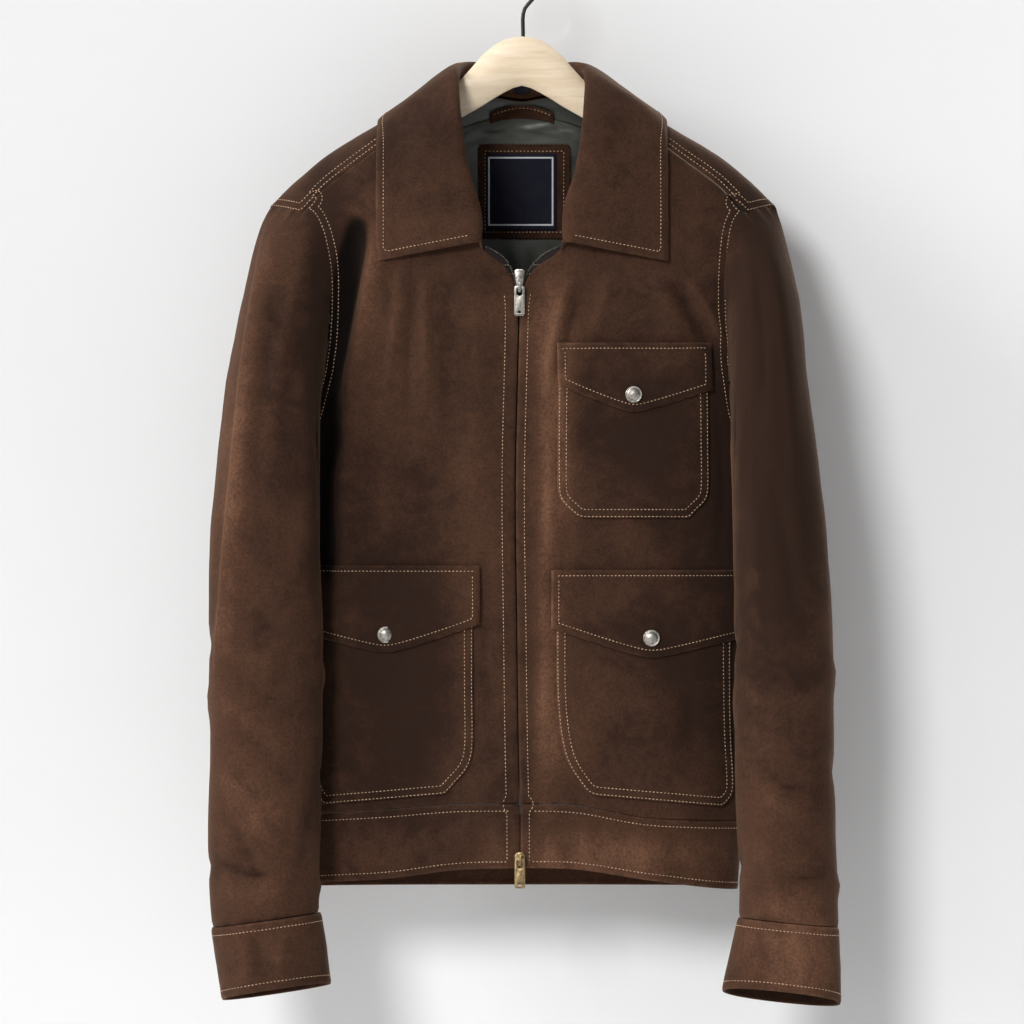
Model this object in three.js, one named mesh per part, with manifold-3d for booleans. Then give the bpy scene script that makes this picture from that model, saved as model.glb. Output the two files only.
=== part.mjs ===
// Suede jacket on a wooden hanger. Millimetres, +Z up, the front faces -Y, the wearer's left is +X.
// The origin is the top of the inside of the hanger's hook, where a rail carries it.
import * as THREE from 'three';
import { mergeVertices } from 'three/addons/utils/BufferGeometryUtils.js';
import Module from 'manifold-3d';

const wasm = await Module();
wasm.setup();

// Driving sizes
const SUEDE = 1.5;
const DOUBLED_SUEDE = 2.2;
const LINING = 0.7;
const SEAM = 0.3;
const LAID_ON = 1.1;
const SIDE_GAP = 0.2;
const BODY_ROUNDNESS = 2.5;
const RIDGE_ROUND = 60;
const ARMHOLE_GAP = 0.8;
const CAP_GAP = 1.8;
const UNDERARM_EASE = 5;
const SHOULDER_SEAM = { neckX: 72, run: 122, neckDrop: 12, tipDrop: 33 };
const WAIST_SEAM_BACK_Z = -752;
const HEM_BACK_Z = -815;
const SNAP_RADIUS = 7.5;
const WIRE_RADIUS = 1.8;
const HOOK_RADIUS = 20;
const HOOK_CENTRE_Z = -HOOK_RADIUS + WIRE_RADIUS;
const AT_SIDE = 0.9999;
const NEARLY_ZERO = 1e-6;
const SAME_POINT = 1e-4;

const part = new THREE.Group();
part.name = 'suede_jacket';

const colours = {
  suede: 0x4a3226, suede_dark: 0x3c281f, lining: 0x3c4238, label: 0x15151f,
  wood: 0xf0dcb8, black_wire: 0x151515, silver: 0xa9a69c, brass: 0x8c7a55, tape: 0x2a1d17,
};

function material(slot) {
  const metal = ['silver', 'brass', 'black_wire'].includes(slot);
  return new THREE.MeshStandardMaterial({
    name: slot, color: colours[slot], roughness: metal ? 0.35 : 0.9, metalness: metal ? 0.9 : 0,
  });
}

function add(name, geometry, slot) {
  const mesh = new THREE.Mesh(geometry, material(slot));
  mesh.name = name;
  part.add(mesh);
  return mesh;
}

const mix = (a, b, t) => a + (b - a) * t;
const clamp = (x, low, high) => Math.min(high, Math.max(low, x));
const steps = (from, to, count) => Array.from({ length: count + 1 }, (_, i) => mix(from, to, i / count));

// A smooth line through a table's rows: the value of one column at a place in another.
function curve(rows, key, column) {
  const sorted = [...rows].sort((a, b) => a[key] - b[key]);
  const slope = (i) => {
    if (i <= 0 || i >= sorted.length - 1) return 0;
    const before = (sorted[i][column] - sorted[i - 1][column]) / (sorted[i][key] - sorted[i - 1][key]);
    const after = (sorted[i + 1][column] - sorted[i][column]) / (sorted[i + 1][key] - sorted[i][key]);
    return before * after <= 0 ? 0 : 2 * before * after / (before + after);
  };
  return (at) => {
    const x = clamp(at, sorted[0][key], sorted[sorted.length - 1][key]);
    let i = 0;
    while (i < sorted.length - 2 && x > sorted[i + 1][key]) i += 1;
    const span = sorted[i + 1][key] - sorted[i][key];
    const t = (x - sorted[i][key]) / span;
    const between = mix(sorted[i][column], sorted[i + 1][column], t * t * (3 - 2 * t));
    return between + span * (t * (1 - t) ** 2 * slope(i) + t * t * (t - 1) * slope(i + 1));
  };
}

// The same, with the row's number as the place.
function alongRows(rows, column) {
  return curve(rows.map((row, i) => ({ i, value: row[column] })), 'i', 'value');
}

// Body of the jacket: half width, front and back depth at each height
const bodyRows = [
  { z: -120, halfWidth: 222, front: 52, back: 46 },
  { z: -219, halfWidth: 224, front: 58, back: 52 },
  { z: -300, halfWidth: 219, front: 62, back: 53 },
  { z: -360, halfWidth: 211, front: 62, back: 53 },
  { z: -400, halfWidth: 203, front: 61, back: 52 },
  { z: -430, halfWidth: 198, front: 60, back: 51 },
  { z: -600, halfWidth: 197, front: 60, back: 51 },
  { z: -740, halfWidth: 196, front: 60, back: 50 },
  { z: -780, halfWidth: 191, front: 57, back: 47 },
  { z: -820, halfWidth: 189, front: 56, back: 46 },
];
const halfWidth = curve(bodyRows, 'z', 'halfWidth');
const frontDepth = curve(bodyRows, 'z', 'front');
const backDepth = curve(bodyRows, 'z', 'back');

// The top line of the shoulders, which runs on unseen over the neck
const ridgeZ = curve([
  { x: 0, z: -85 }, { x: 40, z: -100 }, { x: 75, z: -117 }, { x: 127, z: -147 }, { x: 151, z: -161 },
  { x: 173, z: -174 }, { x: 188, z: -188.5 }, { x: 200, z: -197 }, { x: 212, z: -210 }, { x: 222, z: -219.5 },
  { x: 240, z: -240 },
], 'x', 'z');

// The plackets and the zip sway a little to the left on their way down.
const centreX = curve([
  { z: -262, x: 0 }, { z: -285, x: -2 }, { z: -330, x: -3 }, { z: -476, x: -6 }, { z: -590, x: -4.5 },
  { z: -740, x: -2 }, { z: -820, x: -1.5 },
], 'z', 'x');

// Largest folds of the fronts and the back: a soft ridge or trough from one place to another
const folds = [
  { side: 'front', x0: -124, z0: -240, x1: -146, z1: -305, width: 15, height: 4 },
  { side: 'front', x0: -144, z0: -295, x1: -160, z1: -405, width: 14, height: 5 },
  { side: 'front', x0: -150, z0: -240, x1: -167, z1: -525, width: 15, height: -7 },
  { side: 'front', x0: -104, z0: -276, x1: -112, z1: -400, width: 15, height: 2.5 },
  { side: 'front', x0: -78, z0: -280, x1: -72, z1: -420, width: 15, height: 2 },
  { side: 'front', x0: 43, z0: -285, x1: 21, z1: -365, width: 15, height: 4 },
  { side: 'front', x0: 20, z0: -355, x1: 23, z1: -600, width: 14, height: 3 },
  { side: 'front', x0: 146, z0: -290, x1: 160, z1: -350, width: 13, height: -3 },
  { side: 'front', x0: 118, z0: -272, x1: 140, z1: -330, width: 14, height: 2 },
  { side: 'front', x0: -30, z0: -640, x1: -22, z1: -742, width: 14, height: 2 },
  { side: 'back', x0: -120, z0: -250, x1: -158, z1: -400, width: 15, height: 5 },
  { side: 'back', x0: 118, z0: -245, x1: 160, z1: -410, width: 14, height: 6 },
  { side: 'back', x0: -60, z0: -420, x1: -74, z1: -640, width: 18, height: 3 },
  { side: 'back', x0: 48, z0: -380, x1: 70, z1: -660, width: 16, height: 2 },
];

// How quickly the folds grow from the sides and from the shoulder line
const FOLD_FADE_SIDE = 2.5;
const FOLD_FADE_TOP = 2;
const FOLD_ENDS = 0.8;

function foldHeight(side, x, z) {
  let height = 0;
  for (const fold of folds) {
    if (fold.side !== side) continue;
    const dx = fold.x1 - fold.x0;
    const dz = fold.z1 - fold.z0;
    const length = Math.hypot(dx, dz);
    const along = ((x - fold.x0) * dx + (z - fold.z0) * dz) / length / length;
    const across = ((x - fold.x0) * dz - (z - fold.z0) * dx) / length;
    if (along <= 0 || along >= 1) continue;
    const ends = Math.sin(Math.PI * along) ** FOLD_ENDS;
    height += fold.height * ends * Math.exp(-((across / fold.width) ** 2));
  }
  return height;
}

// How far the body's outside lies in front of or behind the shoulder line at a place
function bodyDepth(side, x, z, folded = true) {
  const width = halfWidth(z);
  const toSide = Math.min(Math.abs(x), width) / width;
  const across = Math.max(0, 1 - toSide ** BODY_ROUNDNESS) ** (1 / BODY_ROUNDNESS);
  const below = clamp((ridgeZ(Math.abs(x)) - z) / RIDGE_ROUND, 0, 1);
  const round = Math.sqrt(1 - (1 - below) ** 2);
  const depth = side === 'front' ? frontDepth(z) : backDepth(z);
  const full = Math.min(across * FOLD_FADE_SIDE, 1) * Math.min(below * FOLD_FADE_TOP, 1);
  return depth * across * round + (folded ? foldHeight(side, x, z) * full : 0);
}

function bodyPoint(side, x, z, folded = true) {
  const sign = side === 'front' ? -1 : 1;
  return new THREE.Vector3(x, sign * (bodyDepth(side, x, z, folded) + SIDE_GAP / 2), z);
}

// A place on the body given by its signed distance below the shoulder line, plus at the back
function overShoulder(x, drop) {
  const z = ridgeZ(Math.abs(x)) - Math.abs(drop);
  return new THREE.Vector3(x, Math.sign(drop) * bodyDepth(drop > 0 ? 'back' : 'front', x, z), z);
}

// The direction square to a surface of two numbers, measured inside its ends
const NORMAL_STEP = 0.004;

function surfaceNormal(surface, u, v, spanU, spanV) {
  const nearU = (spanU[1] - spanU[0]) * NORMAL_STEP;
  const nearV = (spanV[1] - spanV[0]) * NORMAL_STEP;
  const u0 = Math.max(spanU[0], u - nearU);
  const u1 = Math.min(spanU[1], u + nearU);
  const v0 = Math.max(spanV[0], v - nearV);
  const v1 = Math.min(spanV[1], v + nearV);
  const du = surface(u1, v).sub(surface(u0, v));
  const dv = surface(u, v1).sub(surface(u, v0));
  return du.cross(dv).normalize();
}

// Triangles of a wall between an outer and an inner grid of points, with its rims closed
function wallTriangles(outer, inner, options) {
  const triangles = [];
  const rows = outer.length - 1;
  const columns = outer[0].length - 1;
  const quad = (a, b, c, d) => triangles.push(a, b, c, a, c, d);
  for (let j = 0; j < rows; j += 1) {
    for (let i = 0; i < columns; i += 1) {
      quad(outer[j][i], outer[j][i + 1], outer[j + 1][i + 1], outer[j + 1][i]);
      quad(inner[j][i], inner[j + 1][i], inner[j + 1][i + 1], inner[j][i + 1]);
    }
  }
  for (let i = 0; i < columns; i += 1) {
    quad(outer[0][i + 1], outer[0][i], inner[0][i], inner[0][i + 1]);
    quad(outer[rows][i], outer[rows][i + 1], inner[rows][i + 1], inner[rows][i]);
  }
  if (options.closed) return triangles;
  for (let j = 0; j < rows; j += 1) {
    if (j >= (options.joinedRows ?? 0)) quad(outer[j][0], outer[j + 1][0], inner[j + 1][0], inner[j][0]);
    quad(outer[j + 1][columns], outer[j][columns], inner[j][columns], inner[j + 1][columns]);
  }
  return triangles;
}

function geometryOf(triangles) {
  const positions = triangles.flatMap((p) => [p.x, p.y, p.z]);
  const geometry = new THREE.BufferGeometry();
  geometry.setAttribute('position', new THREE.Float32BufferAttribute(positions, 3));
  const [a, b, c] = [new THREE.Vector3(), new THREE.Vector3(), new THREE.Vector3()];
  let volume = 0;
  for (let i = 0; i < positions.length; i += 9) {
    a.fromArray(positions, i);
    b.fromArray(positions, i + 3);
    c.fromArray(positions, i + 6);
    volume += a.dot(b.cross(c));
  }
  const merged = mergeVertices(geometry, SAME_POINT);
  if (volume < 0) {
    const index = merged.index.array;
    for (let i = 0; i < index.length; i += 3) [index[i], index[i + 1]] = [index[i + 1], index[i]];
  }
  merged.computeVertexNormals();
  return merged;
}

// Outer and inner points of a cloth wall over a surface. Lift moves the outside away from the surface.
function wallGrids(surface, us, vs, { thickness = SUEDE, lift = 0, flip = 1, closed = false }) {
  const spanU = closed ? [us[0] - 1, us[us.length - 1] + 1] : [us[0], us[us.length - 1]];
  const spanV = [vs[0], vs[vs.length - 1]];
  const outer = [];
  const inner = [];
  for (const v of vs) {
    const outerRow = [];
    const innerRow = [];
    for (const u of us) {
      const normal = surfaceNormal(surface, u, v, spanU, spanV).multiplyScalar(flip);
      const point = surface(u, v);
      if (Math.abs(point.x) < NEARLY_ZERO) normal.x = 0;
      outerRow.push(point.clone().addScaledVector(normal, lift));
      innerRow.push(point.clone().addScaledVector(normal, lift - thickness));
    }
    if (closed) {
      outerRow[us.length - 1] = outerRow[0];
      innerRow[us.length - 1] = innerRow[0];
    }
    outer.push(outerRow);
    inner.push(innerRow);
  }
  return [outer, inner];
}

function sheet(name, slot, surface, us, vs, options = {}) {
  const [outer, inner] = wallGrids(surface, us, vs, options);
  return add(name, geometryOf(wallTriangles(outer, inner, options)), slot);
}

// The armhole, from the shoulder's tip round the front, under the arm and up the back.
// Turn is the way round the sleeve that each place leads to: 0 outside, 90 front, 180 inside, 270 back.
// The two sides hang differently, so each has its own distance from the middle.
const armhole = [
  { right: 222, left: 222, z: -219.5, turn: 0 },
  { right: 212, left: 213, z: -221.5, turn: 28 },
  { right: 194, left: 197.5, z: -226, turn: 58 },
  { right: 178, left: 185, z: -236, turn: 90 },
  { right: 170.5, left: 180.5, z: -262, turn: 118 },
  { right: 168, left: 179, z: -300, turn: 142 },
  { right: 172, left: 181, z: -350, turn: 165 },
  { right: 181, left: 186, z: -390, turn: 190 },
  { right: 190, left: 192, z: -415, turn: 214 },
  { right: 198, left: 198, z: -430, turn: 240 },
  { right: 192, left: 192, z: -404, turn: 257 },
  { right: 184, left: 184, z: -350, turn: 270 },
  { right: 182, left: 182, z: -300, turn: 284 },
  { right: 184, left: 184, z: -262, turn: 300 },
  { right: 192, left: 192, z: -238, turn: 320 },
  { right: 207, left: 207, z: -226, turn: 340 },
  { right: 222, left: 222, z: -219.5, turn: 360 },
];

const armholeColumn = Object.fromEntries(
  ['right', 'left', 'z'].map((column) => [column, curve(armhole, 'turn', column)]),
);
const wearerSideOf = (sign) => (sign < 0 ? 'right' : 'left');
const armholeX = (turn, sign) => armholeColumn[wearerSideOf(sign)](turn);
const armholeZ = armholeColumn.z;
const UNDERARM_TURN = 240;
const armholeSide = (turn) => (turn > UNDERARM_TURN && turn < 360 ? 'back' : 'front');
const wrapTurn = (turn) => (turn > 360 ? turn - 360 : turn);

// Fronts: rows from the waist seam up to the shoulder seam, from the centre edge to the side.
// Below is the distance under the armpit, and turn the place on the armhole.
const frontRows = [
  { centreX: 0.5, centreZ: -740, below: 322, turn: 240 },
  { centreX: 0.5, centreZ: -640, below: 215, turn: 240 },
  { centreX: 0.5, centreZ: -540, below: 115, turn: 240 },
  { centreX: 0.5, centreZ: -455, below: 40, turn: 240 },
  { centreX: 0.5, centreZ: -415, below: 0, turn: 240 },
  { centreX: 0.5, centreZ: -390, below: 0, turn: 214 },
  { centreX: 0.5, centreZ: -360, below: 0, turn: 190 },
  { centreX: 0.5, centreZ: -328, below: 0, turn: 165 },
  { centreX: 1.5, centreZ: -298, below: 0, turn: 142 },
  { centreX: 6, centreZ: -282, below: 0, turn: 133 },
  { centreX: 16, centreZ: -270, below: 0, turn: 126 },
  { centreX: 35, centreZ: -261.5, below: 0, turn: 118 },
  { centreX: 46, centreZ: -232, below: 0, turn: 104 },
  { centreX: 57, centreZ: -190, below: 0, turn: 90 },
  { centreX: 67, centreZ: -150, below: 0, turn: 74 },
  { centreX: 72, centreZ: -128, below: 0, turn: 58 },
];
const frontColumn = Object.fromEntries(
  ['centreX', 'centreZ', 'below', 'turn'].map((column) => [column, alongRows(frontRows, column)]),
);

// Height of the waist seam and of the hem across the front
const seamRows = [
  { x: -200, seam: -752, hem: -812 }, { x: -171, seam: -750, hem: -810 },
  { x: -121, seam: -747, hem: -807 },
  { x: -42, seam: -741, hem: -797.6 }, { x: 33, seam: -741, hem: -797 }, { x: 111, seam: -754, hem: -808 },
  { x: 200, seam: -757, hem: -817 },
];
const seamZ = curve(seamRows, 'x', 'seam');
const hemZ = curve(seamRows, 'x', 'hem');

// The seam between front and back lies a little forward of the shoulder line.
function shoulderSeamZ(x) {
  const { neckX, run, neckDrop, tipDrop } = SHOULDER_SEAM;
  return ridgeZ(x) - SEAM - mix(neckDrop, tipDrop, (x - neckX) / run);
}

// The row of both tables that lies at the armpit, those above the waist seam that bend with it,
// and the front's row where it starts to follow the shoulder seam
const UNDERARM_ROW = 4;
const SEAM_ROWS = 1.5;
const FRONT_SHOULDER_ROW = 13;

function frontSurface(sign) {
  return (u, v) => {
    const low = clamp(1 - v / SEAM_ROWS, 0, 1);
    const high = clamp((v - FRONT_SHOULDER_ROW) / 2, 0, 1);
    const centreZ = frontColumn.centreZ(v);
    const turn = frontColumn.turn(v);
    const sideZ = armholeZ(turn) - frontColumn.below(v);
    const across = Math.sin(u * Math.PI / 2);
    const edge = sign * frontColumn.centreX(v) + centreX(centreZ);
    const width = v < UNDERARM_ROW ? halfWidth(sideZ) : armholeX(turn, sign);
    const x = mix(edge, sign * width, across);
    const straight = mix(mix(centreZ, sideZ, across), seamZ(x) + SEAM, low);
    const z = mix(straight, shoulderSeamZ(Math.abs(x)) - SEAM, high);
    const atSide = v < UNDERARM_ROW && u > AT_SIDE;
    return atSide ? new THREE.Vector3(sign * halfWidth(z), -SIDE_GAP / 2, z) : bodyPoint('front', x, z);
  };
}

const TOP_ROW = 15;
const frontHeights = [
  ...steps(0, 4, 8), 4.3, 4.6, ...steps(5, 8, 6), 9, 10, 11, 12, 12.6, 13.3, 14, 14.5, TOP_ROW,
];
const FRONT_COLUMNS = 15;
for (const sign of [-1, 1]) {
  const columns = steps(0, 1, FRONT_COLUMNS);
  sheet(`front_${wearerSideOf(sign)}`, 'suede', frontSurface(sign), columns, frontHeights, { flip: sign });
}

// Back: rows from the waist seam up the back, over the shoulder and down to the shoulder seam.
// Drop is the distance below the shoulder line, minus in front of it.
const backRows = [
  { centreX: 0, centreDrop: 667, below: 322, turn: 240, level: 1 },
  { centreX: 0, centreDrop: 565, below: 218, turn: 240, level: 1 },
  { centreX: 0, centreDrop: 455, below: 109, turn: 240, level: 1 },
  { centreX: 0, centreDrop: 375, below: 39, turn: 240, level: 1 },
  { centreX: 0, centreDrop: 325, below: 0, turn: 240, level: 1 },
  { centreX: 0, centreDrop: 285, below: 0, turn: 257, level: 1 },
  { centreX: 0, centreDrop: 230, below: 0, turn: 270, level: 1 },
  { centreX: 0, centreDrop: 180, below: 0, turn: 284, level: 1 },
  { centreX: 0, centreDrop: 132, below: 0, turn: 300, level: 1 },
  { centreX: 0, centreDrop: 85, below: 0, turn: 320, level: 0.5 },
  { centreX: 0, centreDrop: 43, below: 0, turn: 340, level: 0 },
  { centreX: 44, centreDrop: 22, below: 0, turn: 349, level: 0 },
  { centreX: 62, centreDrop: 8, below: 0, turn: 356, level: 0 },
  { centreX: 70, centreDrop: 0, below: 0, turn: 360, level: 0 },
  { centreX: 71.5, centreDrop: -6, below: 0, turn: 388, level: 0 },
  { centreX: 72, centreDrop: -12, below: 0, turn: 418, level: 0 },
];
const backColumn = Object.fromEntries(
  ['centreX', 'centreDrop', 'below', 'turn', 'level'].map((column) => [column, alongRows(backRows, column)]),
);
const NECK_ROW = 10;
const FRONT_OF_RIDGE = 13;

function backSurface(sign, folded = true) {
  return (u, v) => {
    const across = Math.sin(Math.abs(u) * Math.PI / 2);
    const turn = wrapTurn(backColumn.turn(v));
    const side = sign * Math.sign(u || 1);
    const sideZ = armholeZ(turn) - backColumn.below(v);
    const sideX = v < UNDERARM_ROW ? halfWidth(sideZ) : armholeX(turn, side);
    const x = mix(backColumn.centreX(v), sideX, across);
    const sideDrop = (v > FRONT_OF_RIDGE ? -1 : 1) * (ridgeZ(sideX) - sideZ);
    const drop = mix(backColumn.centreDrop(v), sideDrop, across);
    const centreZ = ridgeZ(0) - backColumn.centreDrop(v);
    const z = mix(ridgeZ(x) - Math.abs(drop), mix(centreZ, sideZ, across), backColumn.level(v));
    if (drop < 0) return overShoulder(side * x, drop);
    const atSide = v <= UNDERARM_ROW && Math.abs(u) > AT_SIDE;
    if (atSide) return new THREE.Vector3(side * halfWidth(z), SIDE_GAP / 2, z);
    return bodyPoint('back', side * x, z, folded);
  };
}

const backHeights = [
  0, 1, 2, 3, 3.5, UNDERARM_ROW, 4.3, 4.6, 5, 5.5, 6, 7, ...steps(8, 11, 6), ...steps(12, TOP_ROW, 6),
];
const BACK_COLUMNS = 10;

// The back is two halves, joined along the middle up to the neck.
function backTriangles() {
  const joinedRows = backHeights.indexOf(NECK_ROW);
  const triangles = [];
  for (const sign of [-1, 1]) {
    const columns = steps(0, 1, BACK_COLUMNS);
    const [outer, inner] = wallGrids(backSurface(sign), columns, backHeights, { flip: -sign });
    const half = wallTriangles(outer, inner, { joinedRows });
    if (sign < 0) {
      for (let i = 0; i < half.length; i += 3) [half[i], half[i + 1]] = [half[i + 1], half[i]];
    }
    triangles.push(...half);
  }
  return triangles;
}
add('back', geometryOf(backTriangles()), 'suede');

// Waistband: two fronts and one back, from under the waist seam to the hem
const bandLift = DOUBLED_SUEDE - SUEDE;
const BAND_MIDDLE_Z = -780;
const BAND_EDGE_X = 0.5;
const BAND_COLUMNS = 12;
const BAND_ROWS = 3;
for (const sign of [-1, 1]) {
  const band = (u, v) => {
    const across = Math.sin(u * Math.PI / 2);
    const edge = sign * BAND_EDGE_X + centreX(BAND_MIDDLE_Z);
    const roughX = mix(edge, sign * halfWidth(BAND_MIDDLE_Z), across);
    const z = mix(hemZ(roughX), seamZ(roughX) - SEAM, v);
    const x = mix(edge, sign * halfWidth(z), across);
    return u > AT_SIDE ? new THREE.Vector3(x, -SIDE_GAP / 2, z) : bodyPoint('front', x, z);
  };
  sheet(`waistband_${wearerSideOf(sign)}`, 'suede', band, steps(0, 1, BAND_COLUMNS), steps(0, 1, BAND_ROWS),
    { flip: sign, thickness: DOUBLED_SUEDE, lift: bandLift });
}
const backBand = (u, v) => {
  const z = mix(HEM_BACK_Z, WAIST_SEAM_BACK_Z - SEAM, v);
  const x = Math.sin(u * Math.PI / 2) * halfWidth(z);
  return Math.abs(u) > AT_SIDE ? new THREE.Vector3(x, SIDE_GAP / 2, z) : bodyPoint('back', x, z);
};
const BACK_BAND_COLUMNS = 22;
sheet('waistband_back', 'suede', backBand, steps(-1, 1, BACK_BAND_COLUMNS), steps(0, 1, BAND_ROWS),
  { flip: -1, thickness: DOUBLED_SUEDE, lift: bandLift });

// What lies on the fronts: a grid of places between a top and a bottom line or a left and a right line
const onFront = (place) => (u, v) => {
  const { x, z } = place(u, v);
  return bodyPoint('front', x, z);
};

// Pocket bags, a row for each height, and their flaps with one point in the middle
const pockets = [
  {
    name: 'chest',
    bag: [
      { z: -346, left: 32, right: 161.5 }, { z: -410, left: 30.8, right: 162 },
      { z: -474, left: 30.5, right: 162.7 }, { z: -492.4, left: 48.5, right: 145.5 },
    ],
    bagSlope: 0,
    flap: {
      left: 30.8, right: 164.4, top: -339.6, leftBottom: -375.7, tipX: 96.6, tip: -400.9, rightBottom: -380,
    },
    snapZ: -384.4,
  },
  {
    name: 'right',
    bag: [
      { z: -541, left: -182, right: -42.5 }, { z: -640, left: -183, right: -42.5 },
      { z: -703.7, left: -182, right: -41 }, { z: -720, left: -181, right: -55 },
      { z: -732, left: -172, right: -66.6 },
    ],
    bagSlope: -0.09,
    flap: {
      left: -187, right: -36.5, top: -533.6, leftBottom: -593, tipX: -117.5, tip: -610.6, rightBottom: -584.5,
    },
    snapZ: -593.8,
  },
  {
    name: 'left',
    bag: [
      { z: -545, left: 30, right: 181 }, { z: -640, left: 29.5, right: 181 },
      { z: -701, left: 35.7, right: 183 }, { z: -722, left: 49.5, right: 184 },
      { z: -733.5, left: 58, right: 174 },
    ],
    bagSlope: -0.09,
    flap: {
      left: 25.2, right: 188, top: -537.5, leftBottom: -588, tipX: 111.8, tip: -615, rightBottom: -597,
    },
    snapZ: -596.7,
  },
];

// The lower bags' bottoms follow the waist seam a little, from this far out.
const BAG_SLOPE_FROM = 60;
const BAG_COLUMNS = 9;
const BAG_ROWS = [0, 0.05, 0.11, 0.2, 0.4, 0.6, 0.8, 1];
const FLAP_HALF_COLUMNS = 5;
const FLAP_POINT_CURVE = 1.15;
const FLAP_LIFT = 2 * (LAID_ON + SUEDE) + 0.3;
const SNAP_LIFT = FLAP_LIFT + 0.5;
const SNAP_SIDES = 16;

// A snap's cap from its axis out and round to its crown: radius and height
const snapCap = [
  { radius: 0, height: 0 }, { radius: SNAP_RADIUS, height: 0 }, { radius: SNAP_RADIUS, height: 1.1 },
  { radius: 6.3, height: 1.6 }, { radius: 5.5, height: 1.3 }, { radius: 4.6, height: 2 },
  { radius: 0, height: 2.8 },
];

for (const { name, bag, bagSlope, flap, snapZ } of pockets) {
  const left = curve(bag, 'z', 'left');
  const right = curve(bag, 'z', 'right');
  const [top, bottom] = [bag[0].z, bag[bag.length - 1].z];
  const bagPlace = (u, v) => {
    const z = mix(bottom, top, v);
    const x = mix(left(z), right(z), u);
    return { x, z: z + bagSlope * (Math.abs(x) - BAG_SLOPE_FROM) * (1 - v) };
  };
  const bagColumns = steps(0, 1, BAG_COLUMNS);
  sheet(`pocket_${name}`, 'suede', onFront(bagPlace), bagColumns, BAG_ROWS, { lift: LAID_ON + SUEDE });

  const flapPlace = (u, v) => {
    const x = mix(flap.left, flap.right, u);
    const side = x < flap.tipX ? 'left' : 'right';
    const sideBottom = side === 'left' ? flap.leftBottom : flap.rightBottom;
    const reach = (x - flap.tipX) / (flap[side] - flap.tipX);
    return { x, z: mix(mix(flap.tip, sideBottom, reach ** FLAP_POINT_CURVE), flap.top, v) };
  };
  const tipU = (flap.tipX - flap.left) / (flap.right - flap.left);
  const columns = [...steps(0, tipU, FLAP_HALF_COLUMNS), ...steps(tipU, 1, FLAP_HALF_COLUMNS).slice(1)];
  sheet(`flap_${name}`, 'suede', onFront(flapPlace), columns, steps(0, 1, 3), { lift: FLAP_LIFT });

  const surface = onFront((u, v) => ({ x: flap.tipX + u, z: snapZ + v }));
  const around = [-SNAP_RADIUS, SNAP_RADIUS];
  const normal = surfaceNormal(surface, 0, 0, around, around);
  const profile = snapCap.map(({ radius, height }) => new THREE.Vector2(radius, height));
  const geometry = new THREE.LatheGeometry(profile, SNAP_SIDES);
  geometry.applyQuaternion(new THREE.Quaternion().setFromUnitVectors(new THREE.Vector3(0, 1, 0), normal));
  const seat = surface(0, 0).addScaledVector(normal, SNAP_LIFT);
  geometry.translate(seat.x, seat.y, seat.z);
  add(`snap_${name}`, geometry, 'silver');
}

// Sleeves hang from the armholes in front of the body's sides. A tube has its middle and half width
// at each height, for each side, and a depth that both share.
const sleeveRows = [
  { z: -220, rightX: 211, rightHalf: 13, leftX: 211, leftHalf: 13, y: -3, halfY: 12 },
  { z: -236, rightX: 203.5, rightHalf: 27, leftX: 205, leftHalf: 22, y: -8, halfY: 30 },
  { z: -262, rightX: 204, rightHalf: 33, leftX: 207, leftHalf: 26, y: -14, halfY: 42 },
  { z: -300, rightX: 206, rightHalf: 37.5, leftX: 210.7, leftHalf: 32.5, y: -27, halfY: 50 },
  { z: -350, rightX: 212, rightHalf: 40, leftX: 214.3, leftHalf: 33, y: -33, halfY: 47 },
  { z: -400, rightX: 217.5, rightHalf: 42, leftX: 218.2, leftHalf: 35.8, y: -50, halfY: 43 },
  { z: -430, rightX: 219.5, rightHalf: 44, leftX: 220, leftHalf: 37, y: -60, halfY: 41 },
  { z: -470, rightX: 222, rightHalf: 46.5, leftX: 222.2, leftHalf: 38.8, y: -61, halfY: 38 },
  { z: -530, rightX: 223.5, rightHalf: 49, leftX: 226, leftHalf: 42, y: -62, halfY: 37 },
  { z: -575, rightX: 224.5, rightHalf: 50.5, leftX: 227.6, leftHalf: 43.3, y: -62, halfY: 37 },
  { z: -634, rightX: 222, rightHalf: 48.5, leftX: 227.3, leftHalf: 43, y: -62, halfY: 36 },
  { z: -685, rightX: 221.5, rightHalf: 48, leftX: 228, leftHalf: 43.2, y: -62, halfY: 36 },
  { z: -739, rightX: 223, rightHalf: 50, leftX: 229, leftHalf: 43.5, y: -62, halfY: 37 },
  { z: -790, rightX: 225.5, rightHalf: 49.5, leftX: 230.8, leftHalf: 43, y: -63, halfY: 37 },
  { z: -825, rightX: 225, rightHalf: 48, leftX: 232.3, leftHalf: 42.8, y: -64, halfY: 36 },
  { z: -850, rightX: 221.8, rightHalf: 47.3, leftX: 232, leftHalf: 44, y: -65, halfY: 34 },
];
const sleeveColumn = Object.fromEntries(
  Object.keys(sleeveRows[0]).slice(1).map((column) => [column, curve(sleeveRows, 'z', column)]),
);
const sleeveX = (side, z) => sleeveColumn[`${side}X`](z);
const CAP_DRAPE = 62;
const TUBE_ROUNDNESS = 2.25;

function tubePoint(side, turn, z) {
  const angle = turn * Math.PI / 180;
  const power = 2 / TUBE_ROUNDNESS;
  const across = Math.sign(Math.cos(angle)) * Math.abs(Math.cos(angle)) ** power;
  const deep = Math.sign(Math.sin(angle)) * Math.abs(Math.sin(angle)) ** power;
  const half = sleeveColumn[`${side}Half`](z);
  const y = sleeveColumn.y(z) - sleeveColumn.halfY(z) * deep;
  return new THREE.Vector3(sleeveX(side, z) + half * across, y, z);
}

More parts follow.
